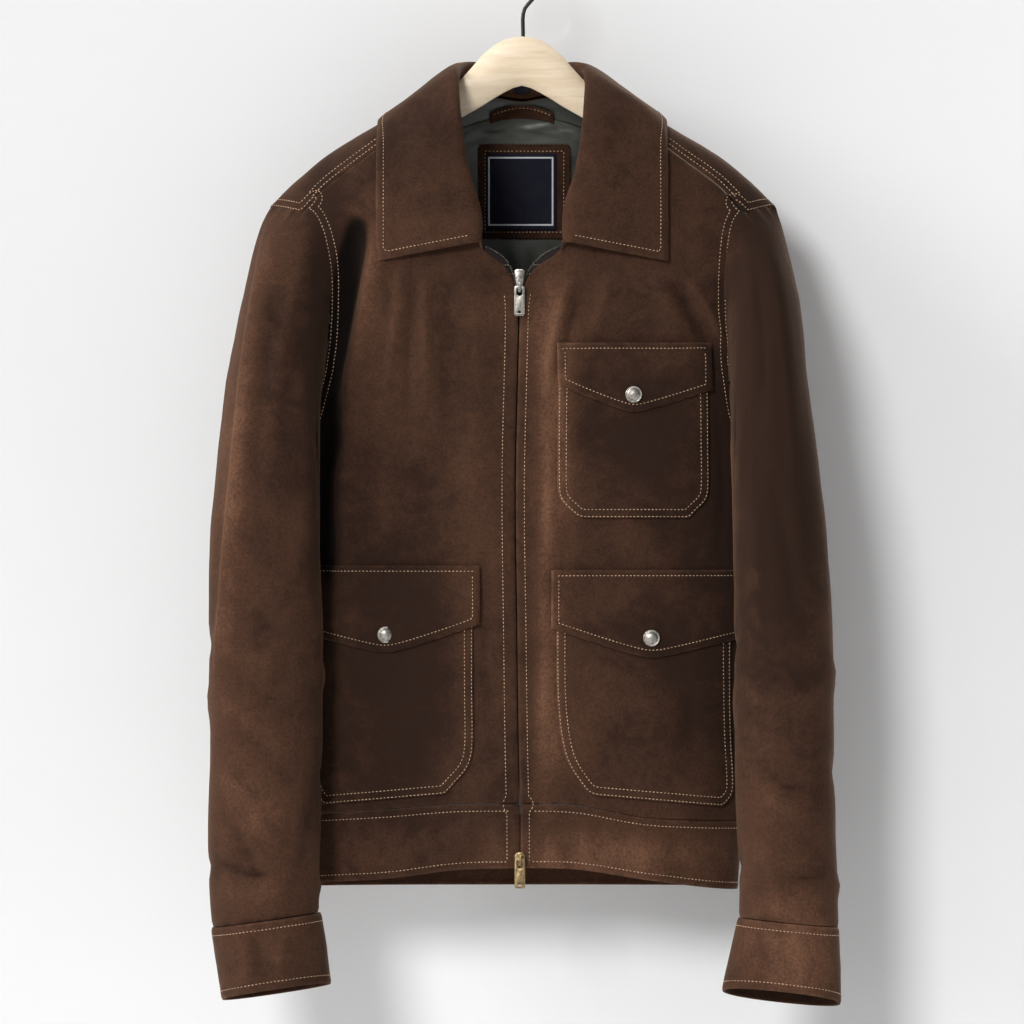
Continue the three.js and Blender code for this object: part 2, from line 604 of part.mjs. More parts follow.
// Cuffs: heights at the sleeve's middle, how they fall outwards and to the back, and the opening's
// middle and spread
const cuffs = {
  right: {
    sign: -1, top: -841.5, topTilt: -0.14, bottom: -904, bottomTilt: -0.15, backTilt: -0.1,
    bottomX: 213.2, bottomY: -68, spreadX: 1.01, spreadY: 1.02,
  },
  left: {
    sign: 1, top: -843.5, topTilt: -0.1, bottom: -909, bottomTilt: -0.11, backTilt: -0.2,
    bottomX: 226.2, bottomY: -68, spreadX: 1.19, spreadY: 0.88,
  },
};

// How the sleeve's rows crowd towards the armhole, and where the ease under the arm lies
const ROW_SPACING = 1.25;
const EASE = { turn: 258, spread: 48 };

function sleeveSurface(side) {
  const cuff = cuffs[side];
  return (turn, t) => {
    const around = wrapTurn(turn);
    const startZ = armholeZ(around);
    const startX = cuff.sign * armholeX(around, cuff.sign);
    const start = bodyPoint(armholeSide(around), startX, startZ);
    start.x = Math.abs(start.x) + ARMHOLE_GAP;
    start.z -= CAP_GAP * Math.max(0, Math.cos(turn * Math.PI / 180));
    const endX = tubePoint(side, turn, cuff.top).x;
    const endZ = cuff.top + cuff.topTilt * (endX - sleeveX(side, cuff.top)) + SEAM;
    const z = mix(startZ, endZ, t ** ROW_SPACING);
    const drop = clamp((startZ - z) / CAP_DRAPE, 0, 1);
    const point = start.lerp(tubePoint(side, turn, z), 1 - (1 - drop) ** 2);
    const underarm = Math.max(0, 1 - ((around - EASE.turn) / EASE.spread) ** 2);
    point.x += UNDERARM_EASE * underarm * Math.sin(Math.PI * Math.sqrt(drop));
    point.x *= cuff.sign;
    return point;
  };
}

const SEAM_TURN = 0.2;
const BACK_SEAM_TURN = 330;
const FRONT_SEAM_TURN = 172;
const CLOSEST_TURNS = 2;
const sleeveTurns = [
  ...backHeights.filter((v) => v > UNDERARM_ROW).map((v) => backColumn.turn(v)),
  ...frontHeights.filter((v) => v >= UNDERARM_ROW && v < TOP_ROW).reverse()
    .map((v) => frontColumn.turn(v) + 360),
];
function turnsBetween(from, to) {
  const inside = sleeveTurns.filter((turn) => turn > from + CLOSEST_TURNS && turn < to - CLOSEST_TURNS);
  return [from + SEAM_TURN, ...inside, to - SEAM_TURN];
}
const sleevePanels = [
  { name: 'top_sleeve', turns: turnsBetween(BACK_SEAM_TURN, FRONT_SEAM_TURN + 360) },
  {
    name: 'under_sleeve',
    turns: [
      ...turnsBetween(FRONT_SEAM_TURN + 360, UNDERARM_TURN + 362).slice(0, -1).map((turn) => turn - 360),
      ...turnsBetween(UNDERARM_TURN - CLOSEST_TURNS, BACK_SEAM_TURN).slice(1),
    ],
  },
];
const sleeveDrops = [0, 0.03, 0.07, 0.13, 0.21, 0.31, 0.42, 0.54, 0.66, 0.78, 0.88, 0.95, 1];
for (const [side, { sign }] of Object.entries(cuffs)) {
  for (const { name, turns } of sleevePanels) {
    sheet(`${name}_${side}`, 'suede', sleeveSurface(side), turns, sleeveDrops, { flip: sign });
  }
}

// Cuffs: closed bands below the sleeves
const CUFF_COLUMNS = 24;
for (const [side, cuff] of Object.entries(cuffs)) {
  const band = (turn, v) => {
    const middleX = sleeveX(side, cuff.top);
    const middleY = sleeveColumn.y(cuff.top);
    const top = tubePoint(side, turn, cuff.top);
    top.z += cuff.topTilt * (top.x - middleX) - SEAM;
    const x = cuff.bottomX + (top.x - middleX) * cuff.spreadX;
    const y = cuff.bottomY + (top.y - middleY) * cuff.spreadY;
    const z = cuff.bottom + cuff.bottomTilt * (x - cuff.bottomX) + cuff.backTilt * (y - cuff.bottomY);
    const point = top.lerp(new THREE.Vector3(x, y, z), v);
    point.x *= cuff.sign;
    return point;
  };
  sheet(`cuff_${side}`, 'suede', band, steps(0, 360, CUFF_COLUMNS), steps(0, 1, BAND_ROWS),
    { flip: cuff.sign, thickness: DOUBLED_SUEDE, lift: bandLift, closed: true });
}

// Collar: one folded wall from the neckline up the stand, over the roll and down the fall.
// Each row is a section of one half, from the middle of the back to the front end.
const collarRows = [
  { edge: 'back', at: 10, rollX: 0, rollY: 57, rollZ: -89, outerX: 0, outerY: 53, outerZ: -150 },
  { edge: 'back', at: 10.6, rollX: 27, rollY: 54, rollZ: -88.8, outerX: 46, outerY: 52, outerZ: -151 },
  { edge: 'back', at: 11, rollX: 43, rollY: 42, rollZ: -89, outerX: 88, outerY: 42, outerZ: -150 },
  { edge: 'back', at: 12, rollX: 52, rollY: 17, rollZ: -92.5, outerX: 120, outerY: 18, outerZ: -144 },
  { edge: 'back', at: 13, rollX: 54, rollY: -12, rollZ: -99, outerX: 127.5, outerY: -8, outerZ: -148 },
  { edge: 'front', at: 15, rollX: 54, rollY: -36, rollZ: -116, outerX: 127.5, outerY: -36, outerZ: -168 },
  { edge: 'front', at: 14, rollX: 51.5, rollY: -54, rollZ: -140, outerX: 127.5, outerY: -50, outerZ: -193 },
  { edge: 'front', at: 13.3, rollX: 48.5, rollY: -62, rollZ: -170, outerX: 127.5, outerY: -56, outerZ: -217 },
  { edge: 'front', at: 12.6, rollX: 42, rollY: -66, rollZ: -200, outerX: 127.5, outerY: -56, outerZ: -238 },
  { edge: 'front', at: 12, rollX: 33, rollY: -68, rollZ: -228, outerX: 127.5, outerY: -56, outerZ: -255 },
  { edge: 'front', at: 11.15, rollX: 36, rollY: -68.5, rollZ: -252, outerX: 127.5, outerY: -56, outerZ: -269 },
];
const NECK_GAP = 3.8;
const COLLAR_THICKNESS = 1.8;
const COLLAR_CLEARANCE = COLLAR_THICKNESS + 3.2;
const ROLL_SPREAD = 2.9;
const CENTRE_BACK_ROW = 10;
const BACK_TIP_ROW = 13;

function neckPoint({ edge, at }) {
  if (edge === 'front') {
    return bodyPoint('front', frontColumn.centreX(at) - NECK_GAP, frontColumn.centreZ(at));
  }
  const point = overShoulder(backColumn.centreX(at), backColumn.centreDrop(at) || 0.01);
  const toTip = (at - CENTRE_BACK_ROW) / (BACK_TIP_ROW - CENTRE_BACK_ROW);
  point.x = Math.max(0, point.x - NECK_GAP * toTip);
  point.z += NECK_GAP * (1 - toTip);
  return point;
}

const collarTable = collarRows.map((row) => {
  const neck = neckPoint(row);
  return { ...row, neckX: neck.x, neckY: neck.y, neckZ: neck.z };
});
const collarAt = Object.fromEntries(
  ['neck', 'roll', 'outer'].map((line) => {
    const [x, y, z] = ['X', 'Y', 'Z'].map((axis) => alongRows(collarTable, line + axis));
    return [line, (v) => new THREE.Vector3(x(v), y(v), z(v))];
  }),
);

// Moves a place outside the body and its folds, up off the shoulder line or away from the front or back
const INSIDE_NECK_X = 60;
const OVER_RIDGE = 5;

function clearOfBody(point, gap) {
  const x = Math.abs(point.x);
  if (x < INSIDE_NECK_X || point.z >= ridgeZ(x) + gap) return point;
  if (point.z > ridgeZ(x) - OVER_RIDGE) {
    point.z = ridgeZ(x) + gap;
    return point;
  }
  const side = point.y < 0 ? 'front' : 'back';
  const depth = bodyDepth(side, point.x, point.z - gap) + gap;
  point.y = side === 'front' ? Math.min(point.y, -depth) : Math.max(point.y, depth);
  return point;
}

// A section runs from the neck past these places: how far each lies from the roll towards the neck or
// the edge, and how far out of the straight line
const collarSection = [
  { towards: 'neck', far: 0.4, out: -0.6 * ROLL_SPREAD },
  { towards: 'neck', far: 0.1, out: -0.8 * ROLL_SPREAD },
  { towards: 'outer', far: 0.05, out: ROLL_SPREAD },
  { towards: 'outer', far: 0.3, out: ROLL_SPREAD + 2, clear: true },
  { towards: 'outer', far: 0.65, out: ROLL_SPREAD + 1, clear: true },
];
const BODY_MIDDLE = new THREE.Vector3(0, 0, -200);
const ROLL_STEP = 0.2;
const FALL_FROM = 0.5;

function collarSurface(u, v) {
  const row = Math.abs(v);
  const lines = { neck: collarAt.neck(row), outer: collarAt.outer(row) };
  const roll = collarAt.roll(row);
  const next = collarAt.roll(Math.min(row + ROLL_STEP, collarRows.length - 1));
  const along = next.sub(collarAt.roll(Math.max(row - ROLL_STEP, 0)));
  const away = lines.outer.clone().sub(roll).cross(along).normalize();
  if (away.dot(roll.clone().sub(BODY_MIDDLE)) < 0) away.negate();
  if (row < ROLL_STEP) away.x = 0;
  const bends = collarSection.map(({ towards, far, out, clear }) => {
    const place = roll.clone().lerp(lines[towards], far).addScaledVector(away, out);
    return clear ? clearOfBody(place, COLLAR_CLEARANCE) : place;
  });
  const edge = clearOfBody(lines.outer, COLLAR_CLEARANCE);
  const point = new THREE.CatmullRomCurve3([lines.neck, ...bends, edge]).getPoint(u);
  if (u > FALL_FROM) clearOfBody(point, COLLAR_CLEARANCE);
  point.x *= Math.sign(v || 1);
  if (row < NEARLY_ZERO) point.x = 0;
  return point;
}
const collarAcross = [0, 0.15, 0.28, 0.36, 0.42, 0.48, 0.56, 0.66, 0.77, 0.88, 1];
const collarHalf = [...steps(0, 3, 5), ...steps(3, 5, 4).slice(1), ...steps(5, 10, 8).slice(1)];
const collarAlong = [...collarHalf.slice(1).reverse().map((v) => -v), ...collarHalf];
sheet('collar', 'suede', collarSurface, collarAcross, collarAlong, { thickness: COLLAR_THICKNESS, flip: -1 });

// Zip: two tapes behind the plackets that open in a V at the neck, and the closed teeth as one bar
const ZIP_TOP_Z = -296;
const ZIP_BOTTOM_Z = -781;
const ZIP_HALF_WIDTH = 2.7;
const tapeRows = [
  { innerX: 3.3, innerZ: -792, outerX: 17, outerZ: -792 },
  { innerX: 3.3, innerZ: -755, outerX: 17, outerZ: -755 },
  { innerX: 3.3, innerZ: -640, outerX: 17, outerZ: -640 },
  { innerX: 3.3, innerZ: -480, outerX: 17, outerZ: -480 },
  { innerX: 3.3, innerZ: -360, outerX: 17, outerZ: -360 },
  { innerX: 3.3, innerZ: -305, outerX: 17, outerZ: -305 },
  { innerX: 3.6, innerZ: -292, outerX: 17.5, outerZ: -296 },
  { innerX: 5.4, innerZ: -283, outerX: 19, outerZ: -290 },
  { innerX: 9, innerZ: -274.5, outerX: 22, outerZ: -284 },
  { innerX: 15, innerZ: -266.5, outerX: 27, outerZ: -278 },
  { innerX: 25, innerZ: -259.5, outerX: 33, outerZ: -273 },
  { innerX: 33, innerZ: -256, outerX: 40, outerZ: -269 },
];
const tapeColumn = Object.fromEntries(
  ['innerX', 'innerZ', 'outerX', 'outerZ'].map((column) => [column, alongRows(tapeRows, column)]),
);
const BEHIND_FRONT = -(SUEDE + 1);
const TAPE_ROWS = 20;
for (const sign of [-1, 1]) {
  const tapePlace = (u, v) => {
    const z = mix(tapeColumn.innerZ(v), tapeColumn.outerZ(v), u);
    return { x: centreX(z) + sign * mix(tapeColumn.innerX(v), tapeColumn.outerX(v), u), z };
  };
  sheet(`zip_tape_${wearerSideOf(sign)}`, 'tape', onFront(tapePlace), [0, 1],
    steps(0, tapeRows.length - 1, TAPE_ROWS), { thickness: LINING, lift: BEHIND_FRONT, flip: sign });
}
const CHAIN_THICKNESS = 2.2;
const CHAIN_ROWS = 16;
const chainPlace = (u, v) => ({ x: centreX(v) + u, z: v });
sheet('zip_chain', 'brass', onFront(chainPlace), [-ZIP_HALF_WIDTH, ZIP_HALF_WIDTH],
  steps(ZIP_BOTTOM_Z, ZIP_TOP_Z, CHAIN_ROWS), { thickness: CHAIN_THICKNESS, lift: BEHIND_FRONT });

function solidOf(geometry) {
  const loose = geometry.index ? geometry.toNonIndexed() : geometry;
  const places = new THREE.BufferGeometry().setAttribute('position', loose.getAttribute('position'));
  const merged = mergeVertices(places, SAME_POINT);
  return new wasm.Manifold(new wasm.Mesh({
    numProp: 3,
    vertProperties: merged.attributes.position.array,
    triVerts: new Uint32Array(merged.index.array),
  }));
}

function geometryOfSolid(solid) {
  const mesh = solid.getMesh();
  const geometry = new THREE.BufferGeometry();
  geometry.setAttribute('position', new THREE.Float32BufferAttribute(mesh.vertProperties, 3));
  geometry.setIndex([...mesh.triVerts]);
  geometry.computeVertexNormals();
  return geometry;
}

// A plate with an outline across X and Z, from one depth to another along Y
function plate(outline, holes, frontY, backY) {
  const shape = new THREE.Shape(outline.map(([x, z]) => new THREE.Vector2(x, z)));
  shape.holes = holes.map((hole) => new THREE.Path(hole.map(([x, z]) => new THREE.Vector2(x, z))));
  const geometry = new THREE.ExtrudeGeometry(shape, { depth: backY - frontY, bevelEnabled: false });
  geometry.rotateX(Math.PI / 2);
  geometry.translate(0, backY, 0);
  return geometry;
}

function roundedOutline(halfX, low, high, corner) {
  const points = [];
  const corners = [
    { x: halfX - corner, z: low + corner, from: -90 }, { x: halfX - corner, z: high - corner, from: 0 },
    { x: corner - halfX, z: high - corner, from: 90 }, { x: corner - halfX, z: low + corner, from: 180 },
  ];
  for (const { x, z, from } of corners) {
    for (const angle of [0, 45, 90]) {
      const a = (from + angle) * Math.PI / 180;
      points.push([x + corner * Math.cos(a), z + corner * Math.sin(a)]);
    }
  }
  return points;
}

// Sliders and their pull tabs. Places are measured from the pull's pin.
const PULL = { halfWidth: 4.6, top: 1.1, bottom: -25, thickness: 1.5, corner: 1.8 };
const PULL_EYE = { halfWidth: 2.6, bottom: -7.5, top: -0.8, corner: 1.9 };
const PULL_SLOT = { halfWidth: 1.4, bottom: -22.8, top: -20.6, corner: 0.9 };
const BRIDGE = { halfWidth: 1.1, half: 4.3, post: 1.5, room: 2.9, bar: 1.3, sunk: 0.5 };
const PIN_OUT = BRIDGE.room / 2;
const outlineOf = ({ halfWidth, bottom, top, corner }) => roundedOutline(halfWidth, bottom, top, corner);

// Half of a slider's outline, from its bottom up: distance from its middle and height
const sliders = {
  top: {
    slot: 'silver', x: -2.2, z: -291.5, out: 4.2, restsAt: -300, lift: 0, depth: 5.4,
    outline: [{ x: 1.6, z: -3.5 }, { x: 3.4, z: 6 }, { x: 4.6, z: 14 }, { x: 3, z: 15.6 }],
  },
  bottom: {
    slot: 'brass', x: -1.8, z: -789.5, out: 5, restsAt: -790, lift: bandLift, depth: 2.6,
    outline: [{ x: 4.4, z: -6.5 }, { x: 4.6, z: 3.5 }, { x: 2.6, z: 6.5 }],
  },
};

function bridgeBar(low, high, frontY, backY) {
  const across = BRIDGE.halfWidth;
  return solidOf(plate([[-across, low], [across, low], [across, high], [-across, high]], [], frontY, backY));
}

for (const [end, { slot, x, z, out, restsAt, lift, depth, outline }] of Object.entries(sliders)) {
  const pin = new THREE.Vector3(x, -(bodyDepth('front', x, restsAt) + lift + out), z);
  const mirrored = outline.map((place) => [-place.x, place.z]).reverse();
  const body = solidOf(plate([...outline.map((place) => [place.x, place.z]), ...mirrored], [],
    PIN_OUT, PIN_OUT + depth));
  const outY = -PIN_OUT - BRIDGE.bar;
  const bridge = [
    bridgeBar(-BRIDGE.half, -BRIDGE.half + BRIDGE.post, outY, PIN_OUT + BRIDGE.sunk),
    bridgeBar(BRIDGE.half - BRIDGE.post, BRIDGE.half, outY, PIN_OUT + BRIDGE.sunk),
    bridgeBar(-BRIDGE.half, BRIDGE.half, outY, -PIN_OUT),
  ];
  const slider = geometryOfSolid(bridge.reduce((whole, piece) => whole.add(piece), body));
  slider.translate(pin.x, pin.y, pin.z);
  add(`slider_${end}`, slider, slot);

  const holes = [outlineOf(PULL_EYE), outlineOf(PULL_SLOT)];
  const pull = plate(outlineOf(PULL), holes, -PULL.thickness / 2, PULL.thickness / 2);
  pull.translate(pin.x, pin.y, pin.z);
  add(`pull_${end}`, pull, slot);
}

// Inside the neck: the back's lining, and on it a patch, a label and a hanging loop
const LINING_LIFT = -(SUEDE + 0.9);
const PATCH_LIFT = LINING_LIFT - LINING - 1;
const PATCH_THICKNESS = 0.9;
const LABEL_THICKNESS = 0.5;
const LABEL_LIFT = PATCH_LIFT - PATCH_THICKNESS - 0.3;
const liningColumns = [-0.9, -0.8, -0.7, ...steps(-0.6, 0.6, 6), 0.7, 0.8, 0.9];
const liningRows = [0.1, 2, 3.95, ...steps(5, 8, 3), 8.5, 9, 9.5, 9.9];
sheet('lining_back', 'lining', backSurface(1, false), liningColumns, liningRows,
  { thickness: LINING, lift: LINING_LIFT, flip: -1 });

const neckPieces = [
  {
    name: 'neck_patch', slot: 'suede_dark', from: { x: -39, z: -247 }, to: { x: 43.5, z: -162.5 },
    columns: 5, rows: 5, thickness: PATCH_THICKNESS, lift: PATCH_LIFT,
  },
  {
    name: 'neck_label', slot: 'label', from: { x: -31.8, z: -239 }, to: { x: 30.5, z: -171 },
    columns: 4, rows: 4, thickness: LABEL_THICKNESS, lift: LABEL_LIFT,
  },
  {
    name: 'hang_loop', slot: 'suede_dark', from: { x: -28.7, z: -143.5 }, to: { x: 28.7, z: -131.5 },
    columns: 4, rows: 2, thickness: 1.2, lift: PATCH_LIFT - 0.3,
  },
];
const onBack = (u, v) => bodyPoint('back', u, v, false);
for (const { name, slot, from, to, columns, rows, thickness, lift } of neckPieces) {
  sheet(name, slot, onBack, steps(from.x, to.x, columns), steps(from.z, to.z, rows),
    { thickness, lift, flip: -1 });
}
const TAG = { from: 0.03, to: 0.12, halfRow: 0.42, lift: 1 };
sheet('size_tag', 'label', collarSurface, [TAG.from, TAG.to], steps(-TAG.halfRow, TAG.halfRow, 2),
  { thickness: LABEL_THICKNESS, lift: TAG.lift, flip: -1 });

// Hanger: a wooden bow with rounded sections, which fills the shoulder line from inside
const hangerRows = [
  { x: 0, top: -69.4, bottom: -114.7, half: 7 },
  { x: 16, top: -72.5, bottom: -121, half: 7 },
  { x: 34.8, top: -86, bottom: -132.5, half: 7 },
  { x: 53, top: -107, bottom: -142.5, half: 7 },
  { x: 75, top: -120, bottom: -154, half: 7.2 },
  { x: 127, top: -149.6, bottom: -181, half: 8 },
  { x: 173, top: -177, bottom: -206, half: 9 },
  { x: 187, top: -190.5, bottom: -214, half: 9 },
  { x: 196, top: -197, bottom: -220, half: 8.5 },
  { x: 206, top: -207, bottom: -222, half: 6 },
];
const hangerAt = Object.fromEntries(
  ['top', 'bottom', 'half'].map((column) => [column, curve(hangerRows, 'x', column)]),
);
const HANGER_SIDES = 10;
const HANGER_STATIONS = [0, 8, 16, 25, 34.8, 44, 53, 64, 75, 100, 127, 150, 173, 186, 196, 206];
const HANGER_SQUARENESS = 0.7;
const HOOK_X = 1;
const SOCKET = { depth: 20, sides: 16 };

function hangerTriangles() {
  const stations = [...HANGER_STATIONS.slice(1).reverse().map((x) => -x), ...HANGER_STATIONS];
  const rings = stations.map((x) => {
    const [top, bottom, half] = ['top', 'bottom', 'half'].map((column) => hangerAt[column](Math.abs(x)));
    return Array.from({ length: HANGER_SIDES }, (_, i) => {
      const a = (i / HANGER_SIDES) * 2 * Math.PI;
      const z = (top + bottom) / 2 + ((top - bottom) / 2) * Math.sin(a);
      const deep = Math.sign(Math.cos(a)) * Math.abs(Math.cos(a)) ** HANGER_SQUARENESS;
      return new THREE.Vector3(x, half * deep, z);
    });
  });
  const triangles = [];
  const last = rings.length - 1;
  for (let j = 0; j < last; j += 1) {
    for (let i = 0; i < HANGER_SIDES; i += 1) {
      const k = (i + 1) % HANGER_SIDES;
      triangles.push(rings[j][i], rings[j][k], rings[j + 1][k]);
      triangles.push(rings[j][i], rings[j + 1][k], rings[j + 1][i]);
    }
  }
  for (let i = 1; i < HANGER_SIDES - 1; i += 1) {
    triangles.push(rings[0][0], rings[0][i + 1], rings[0][i]);
    triangles.push(rings[last][0], rings[last][i], rings[last][i + 1]);
  }
  return triangles;
}

function hangerGeometry() {
  const radius = WIRE_RADIUS + SEAM;
  const socket = new THREE.CylinderGeometry(radius, radius, 2 * SOCKET.depth, SOCKET.sides);
  socket.rotateX(Math.PI / 2);
  socket.translate(HOOK_X, 0, hangerRows[0].top);
  return geometryOfSolid(solidOf(geometryOf(hangerTriangles())).subtract(solidOf(socket)));
}
add('hanger', hangerGeometry(), 'wood');

// Hook: a wire that leans right out of the wood and turns over the rail to a short tip on the left
const hookStem = [
  { x: 1, z: -84 }, { x: 1, z: -66 }, { x: 1, z: -52 }, { x: 2.8, z: -45.5 }, { x: 7, z: -40.5 },
];
const HOOK_TURN = { from: -45, to: 204, parts: 10 };
const HOOK_STEPS = 30;

function hookGeometry() {
  const points = hookStem.map(({ x, z }) => new THREE.Vector3(x, 0, z));
  for (const angle of steps(HOOK_TURN.from, HOOK_TURN.to, HOOK_TURN.parts)) {
    const a = angle * Math.PI / 180;
    const up = HOOK_CENTRE_Z + HOOK_RADIUS * Math.sin(a);
    points.push(new THREE.Vector3(HOOK_RADIUS * Math.cos(a), 0, up));
  }
  const wire = new THREE.Shape();
  wire.absarc(0, 0, WIRE_RADIUS, 0, 2 * Math.PI);
  const extrudePath = new THREE.CatmullRomCurve3(points);
  return new THREE.ExtrudeGeometry(wire, { extrudePath, steps: HOOK_STEPS, curveSegments: 4 });
}
add('hook', hookGeometry(), 'black_wire');

export default part;
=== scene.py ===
"""Suede jacket on a wooden hanger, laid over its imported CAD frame. Metres, +Z up, the front faces -Y."""

from itertools import product
from math import pi, radians

import bmesh
import bpy
import numpy as np
from bpy.props import FloatProperty, FloatVectorProperty, IntProperty, PointerProperty
from mathutils import Matrix, Vector
from mathutils.kdtree import KDTree


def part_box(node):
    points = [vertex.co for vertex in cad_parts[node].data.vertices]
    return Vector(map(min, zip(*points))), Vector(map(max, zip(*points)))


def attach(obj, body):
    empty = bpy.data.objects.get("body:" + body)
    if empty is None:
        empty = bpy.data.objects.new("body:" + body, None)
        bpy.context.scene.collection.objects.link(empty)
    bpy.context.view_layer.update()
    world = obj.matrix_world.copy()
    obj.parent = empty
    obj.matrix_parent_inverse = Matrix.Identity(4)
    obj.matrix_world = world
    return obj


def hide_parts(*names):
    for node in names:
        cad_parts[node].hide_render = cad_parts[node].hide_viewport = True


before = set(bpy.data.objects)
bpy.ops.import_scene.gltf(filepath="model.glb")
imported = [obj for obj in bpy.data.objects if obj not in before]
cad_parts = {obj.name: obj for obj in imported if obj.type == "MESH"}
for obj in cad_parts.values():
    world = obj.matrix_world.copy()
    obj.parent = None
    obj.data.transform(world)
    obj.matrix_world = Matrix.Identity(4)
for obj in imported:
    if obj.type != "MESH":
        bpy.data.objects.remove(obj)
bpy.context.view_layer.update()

bl_info = {
    "name": "Suede jacket on a hanger",
    "version": (1, 0, 0),
    "blender": (4, 5, 0),
    "location": "View3D > Sidebar > Jacket",
    "description": "Builds a suede jacket's cloth, sewing, zip, snaps and hanger over its CAD frame",
    "category": "Object",
}

MM = 0.001
FRONT = Vector((0, -1, 0))
CLOTH_BODY = "jacket"


def length(name, text, default):
    return FloatProperty(name=name, description=text, default=default, min=0, unit="LENGTH")


def colour(name, text, default):
    limits = {"size": 3, "min": 0, "max": 1, "subtype": "COLOR"}
    return FloatVectorProperty(name=name, description=text, default=default, **limits)


class JacketSizes(bpy.types.PropertyGroup):
    suede: length("Suede", "Thickness of the single suede", 0.0015)
    doubled: length("Doubled suede", "Thickness of the bands, cuffs and collar", 0.0022)
    lining: length("Lining", "Thickness of the satin lining", 0.0007)
    stitch: length("Stitch", "Length of one stitch that shows", 0.0021)
    stitch_pitch: length("Stitch pitch", "From one stitch to the next", 0.0033)
    thread: length("Thread", "Thickness of the sewing thread", 0.0008)
    tooth_pitch: length("Tooth pitch", "From one zip tooth to the next on a tape", 0.0021)
    smoothing: IntProperty(name="Smoothing", description="Subdivisions of the cloth", default=3, min=1, max=4)


class JacketColours(bpy.types.PropertyGroup):
    suede_light: colour("Suede, brushed", "Where the nap lies up", (0.128, 0.062, 0.036))
    suede_mid: colour("Suede", "The body of the hide", (0.053, 0.0246, 0.0142))
    suede_deep: colour("Suede, deep", "Where the nap lies down", (0.020, 0.0096, 0.0060))
    thread: colour("Thread", "Tan sewing thread", (0.62, 0.43, 0.27))
    lining: colour("Lining", "Olive satin", (0.036, 0.037, 0.028))
    label: colour("Label", "Dark navy woven label", (0.006, 0.006, 0.014))
    wood: colour("Wood", "Pale natural wood", (0.84, 0.70, 0.52))
    silver: colour("Antique silver", "Snaps and upper pull", (0.42, 0.39, 0.35))
    brass: colour("Antique brass", "Lower slider", (0.35, 0.25, 0.13))
    wall: colour("Wall", "Pale studio wall and floor", (0.81, 0.81, 0.81))


def sizes():
    return bpy.context.scene.jacket_sizes


def colours():
    return bpy.context.scene.jacket_colours


# Cloth that starts from the outer face of a CAD wall


def islands(bm):
    """The groups of faces that hang together, the largest first."""
    left, groups = set(bm.faces), []
    while left:
        todo, group = [left.pop()], []
        while todo:
            face = todo.pop()
            group.append(face)
            for edge in face.edges:
                for other in edge.link_faces:
                    if other in left:
                        left.remove(other)
                        todo.append(other)
        groups.append(group)
    return sorted(groups, key=lambda faces: -sum(face.calc_area() for face in faces))


MERGE_DISTANCE = 1e-5
RIM_ANGLE = radians(48)
JOIN_ANGLE = radians(60)


def outer_face(node, facing=None):
    """A bmesh of a CAD wall's outer face, in quads: a merged copy, cut loose at its rims.
    Without a facing it is the larger of the wall's two faces, as on a tube or a fold."""
    bm = bmesh.new()
    bm.from_mesh(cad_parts[node].data)
    bmesh.ops.remove_doubles(bm, verts=bm.verts, dist=MERGE_DISTANCE)
    bm.normal_update()
    rims = [e for e in bm.edges if len(e.link_faces) == 2 and e.calc_face_angle(0) > RIM_ANGLE]
    bmesh.ops.split_edges(bm, edges=rims)
    walls = islands(bm)[:2]
    if facing is not None:
        walls.sort(key=lambda faces: -sum(f.normal.dot(facing) * f.calc_area() for f in faces))
    kept = set(walls[0])
    bmesh.ops.delete(bm, geom=[f for f in bm.faces if f not in kept], context="FACES")
    bmesh.ops.join_triangles(
        bm, faces=bm.faces, angle_face_threshold=JOIN_ANGLE, angle_shape_threshold=JOIN_ANGLE
    )
    return bm


def new_object(name, mesh):
    made = bpy.data.objects.new(name, mesh)
    bpy.context.scene.collection.objects.link(made)
    return made


def object_from(bm, name):
    mesh = bpy.data.meshes.new(name)
    bm.to_mesh(mesh)
    bm.free()
    mesh.shade_smooth()
    return new_object(name, mesh)


def applied(made):
    """The object with its modifiers applied to its mesh."""
    evaluated = made.evaluated_get(bpy.context.evaluated_depsgraph_get())
    mesh = bpy.data.meshes.new_from_object(evaluated)
    made.modifiers.clear()
    old, made.data = made.data, mesh
    bpy.data.meshes.remove(old)
    return made


def smoothed(made, levels):
    smooth = made.modifiers.new("smooth", "SUBSURF")
    smooth.levels = smooth.render_levels = levels
    smooth.boundary_smooth = "PRESERVE_CORNERS"
    return applied(made)


def vertex_values(mesh, name, width):
    values = np.zeros(len(mesh.vertices) * width, np.float32)
    mesh.vertices.foreach_get(name, values)
    return values.reshape(-1, width).astype(float)


def set_points(mesh, points):
    mesh.vertices.foreach_set("co", points.astype(np.float32).ravel())
    mesh.update()


def store(mesh, name, values):
    kept = mesh.attributes.get(name) or mesh.attributes.new(name, "FLOAT", "POINT")
    kept.data.foreach_set("value", np.asarray(values, np.float32))


def open_edges(mesh):
    """The pairs of points that bound a mesh with one layer."""
    bm = bmesh.new()
    bm.from_mesh(mesh)
    pairs = [[v.index for v in e.verts] for e in bm.edges if e.is_boundary]
    bm.free()
    return np.array(pairs, int).reshape(-1, 2)


EDGE_SAMPLES = 4


def tree_of(points):
    tree = KDTree(len(points))
    for index, point in enumerate(points):
        tree.insert(point, index)
    tree.balance()
    return tree


def along_edges(points, pairs):
    """Points along edges, close enough together to measure distances from them."""
    steps = (np.arange(EDGE_SAMPLES) / EDGE_SAMPLES)[:, None, None]
    return (points[pairs[:, 0]] * (1 - steps) + points[pairs[:, 1]] * steps).reshape(-1, 3)


def distances(points, samples):
    tree = tree_of(samples)
    return np.array([tree.find(point)[2] for point in points])


# Uneven cloth


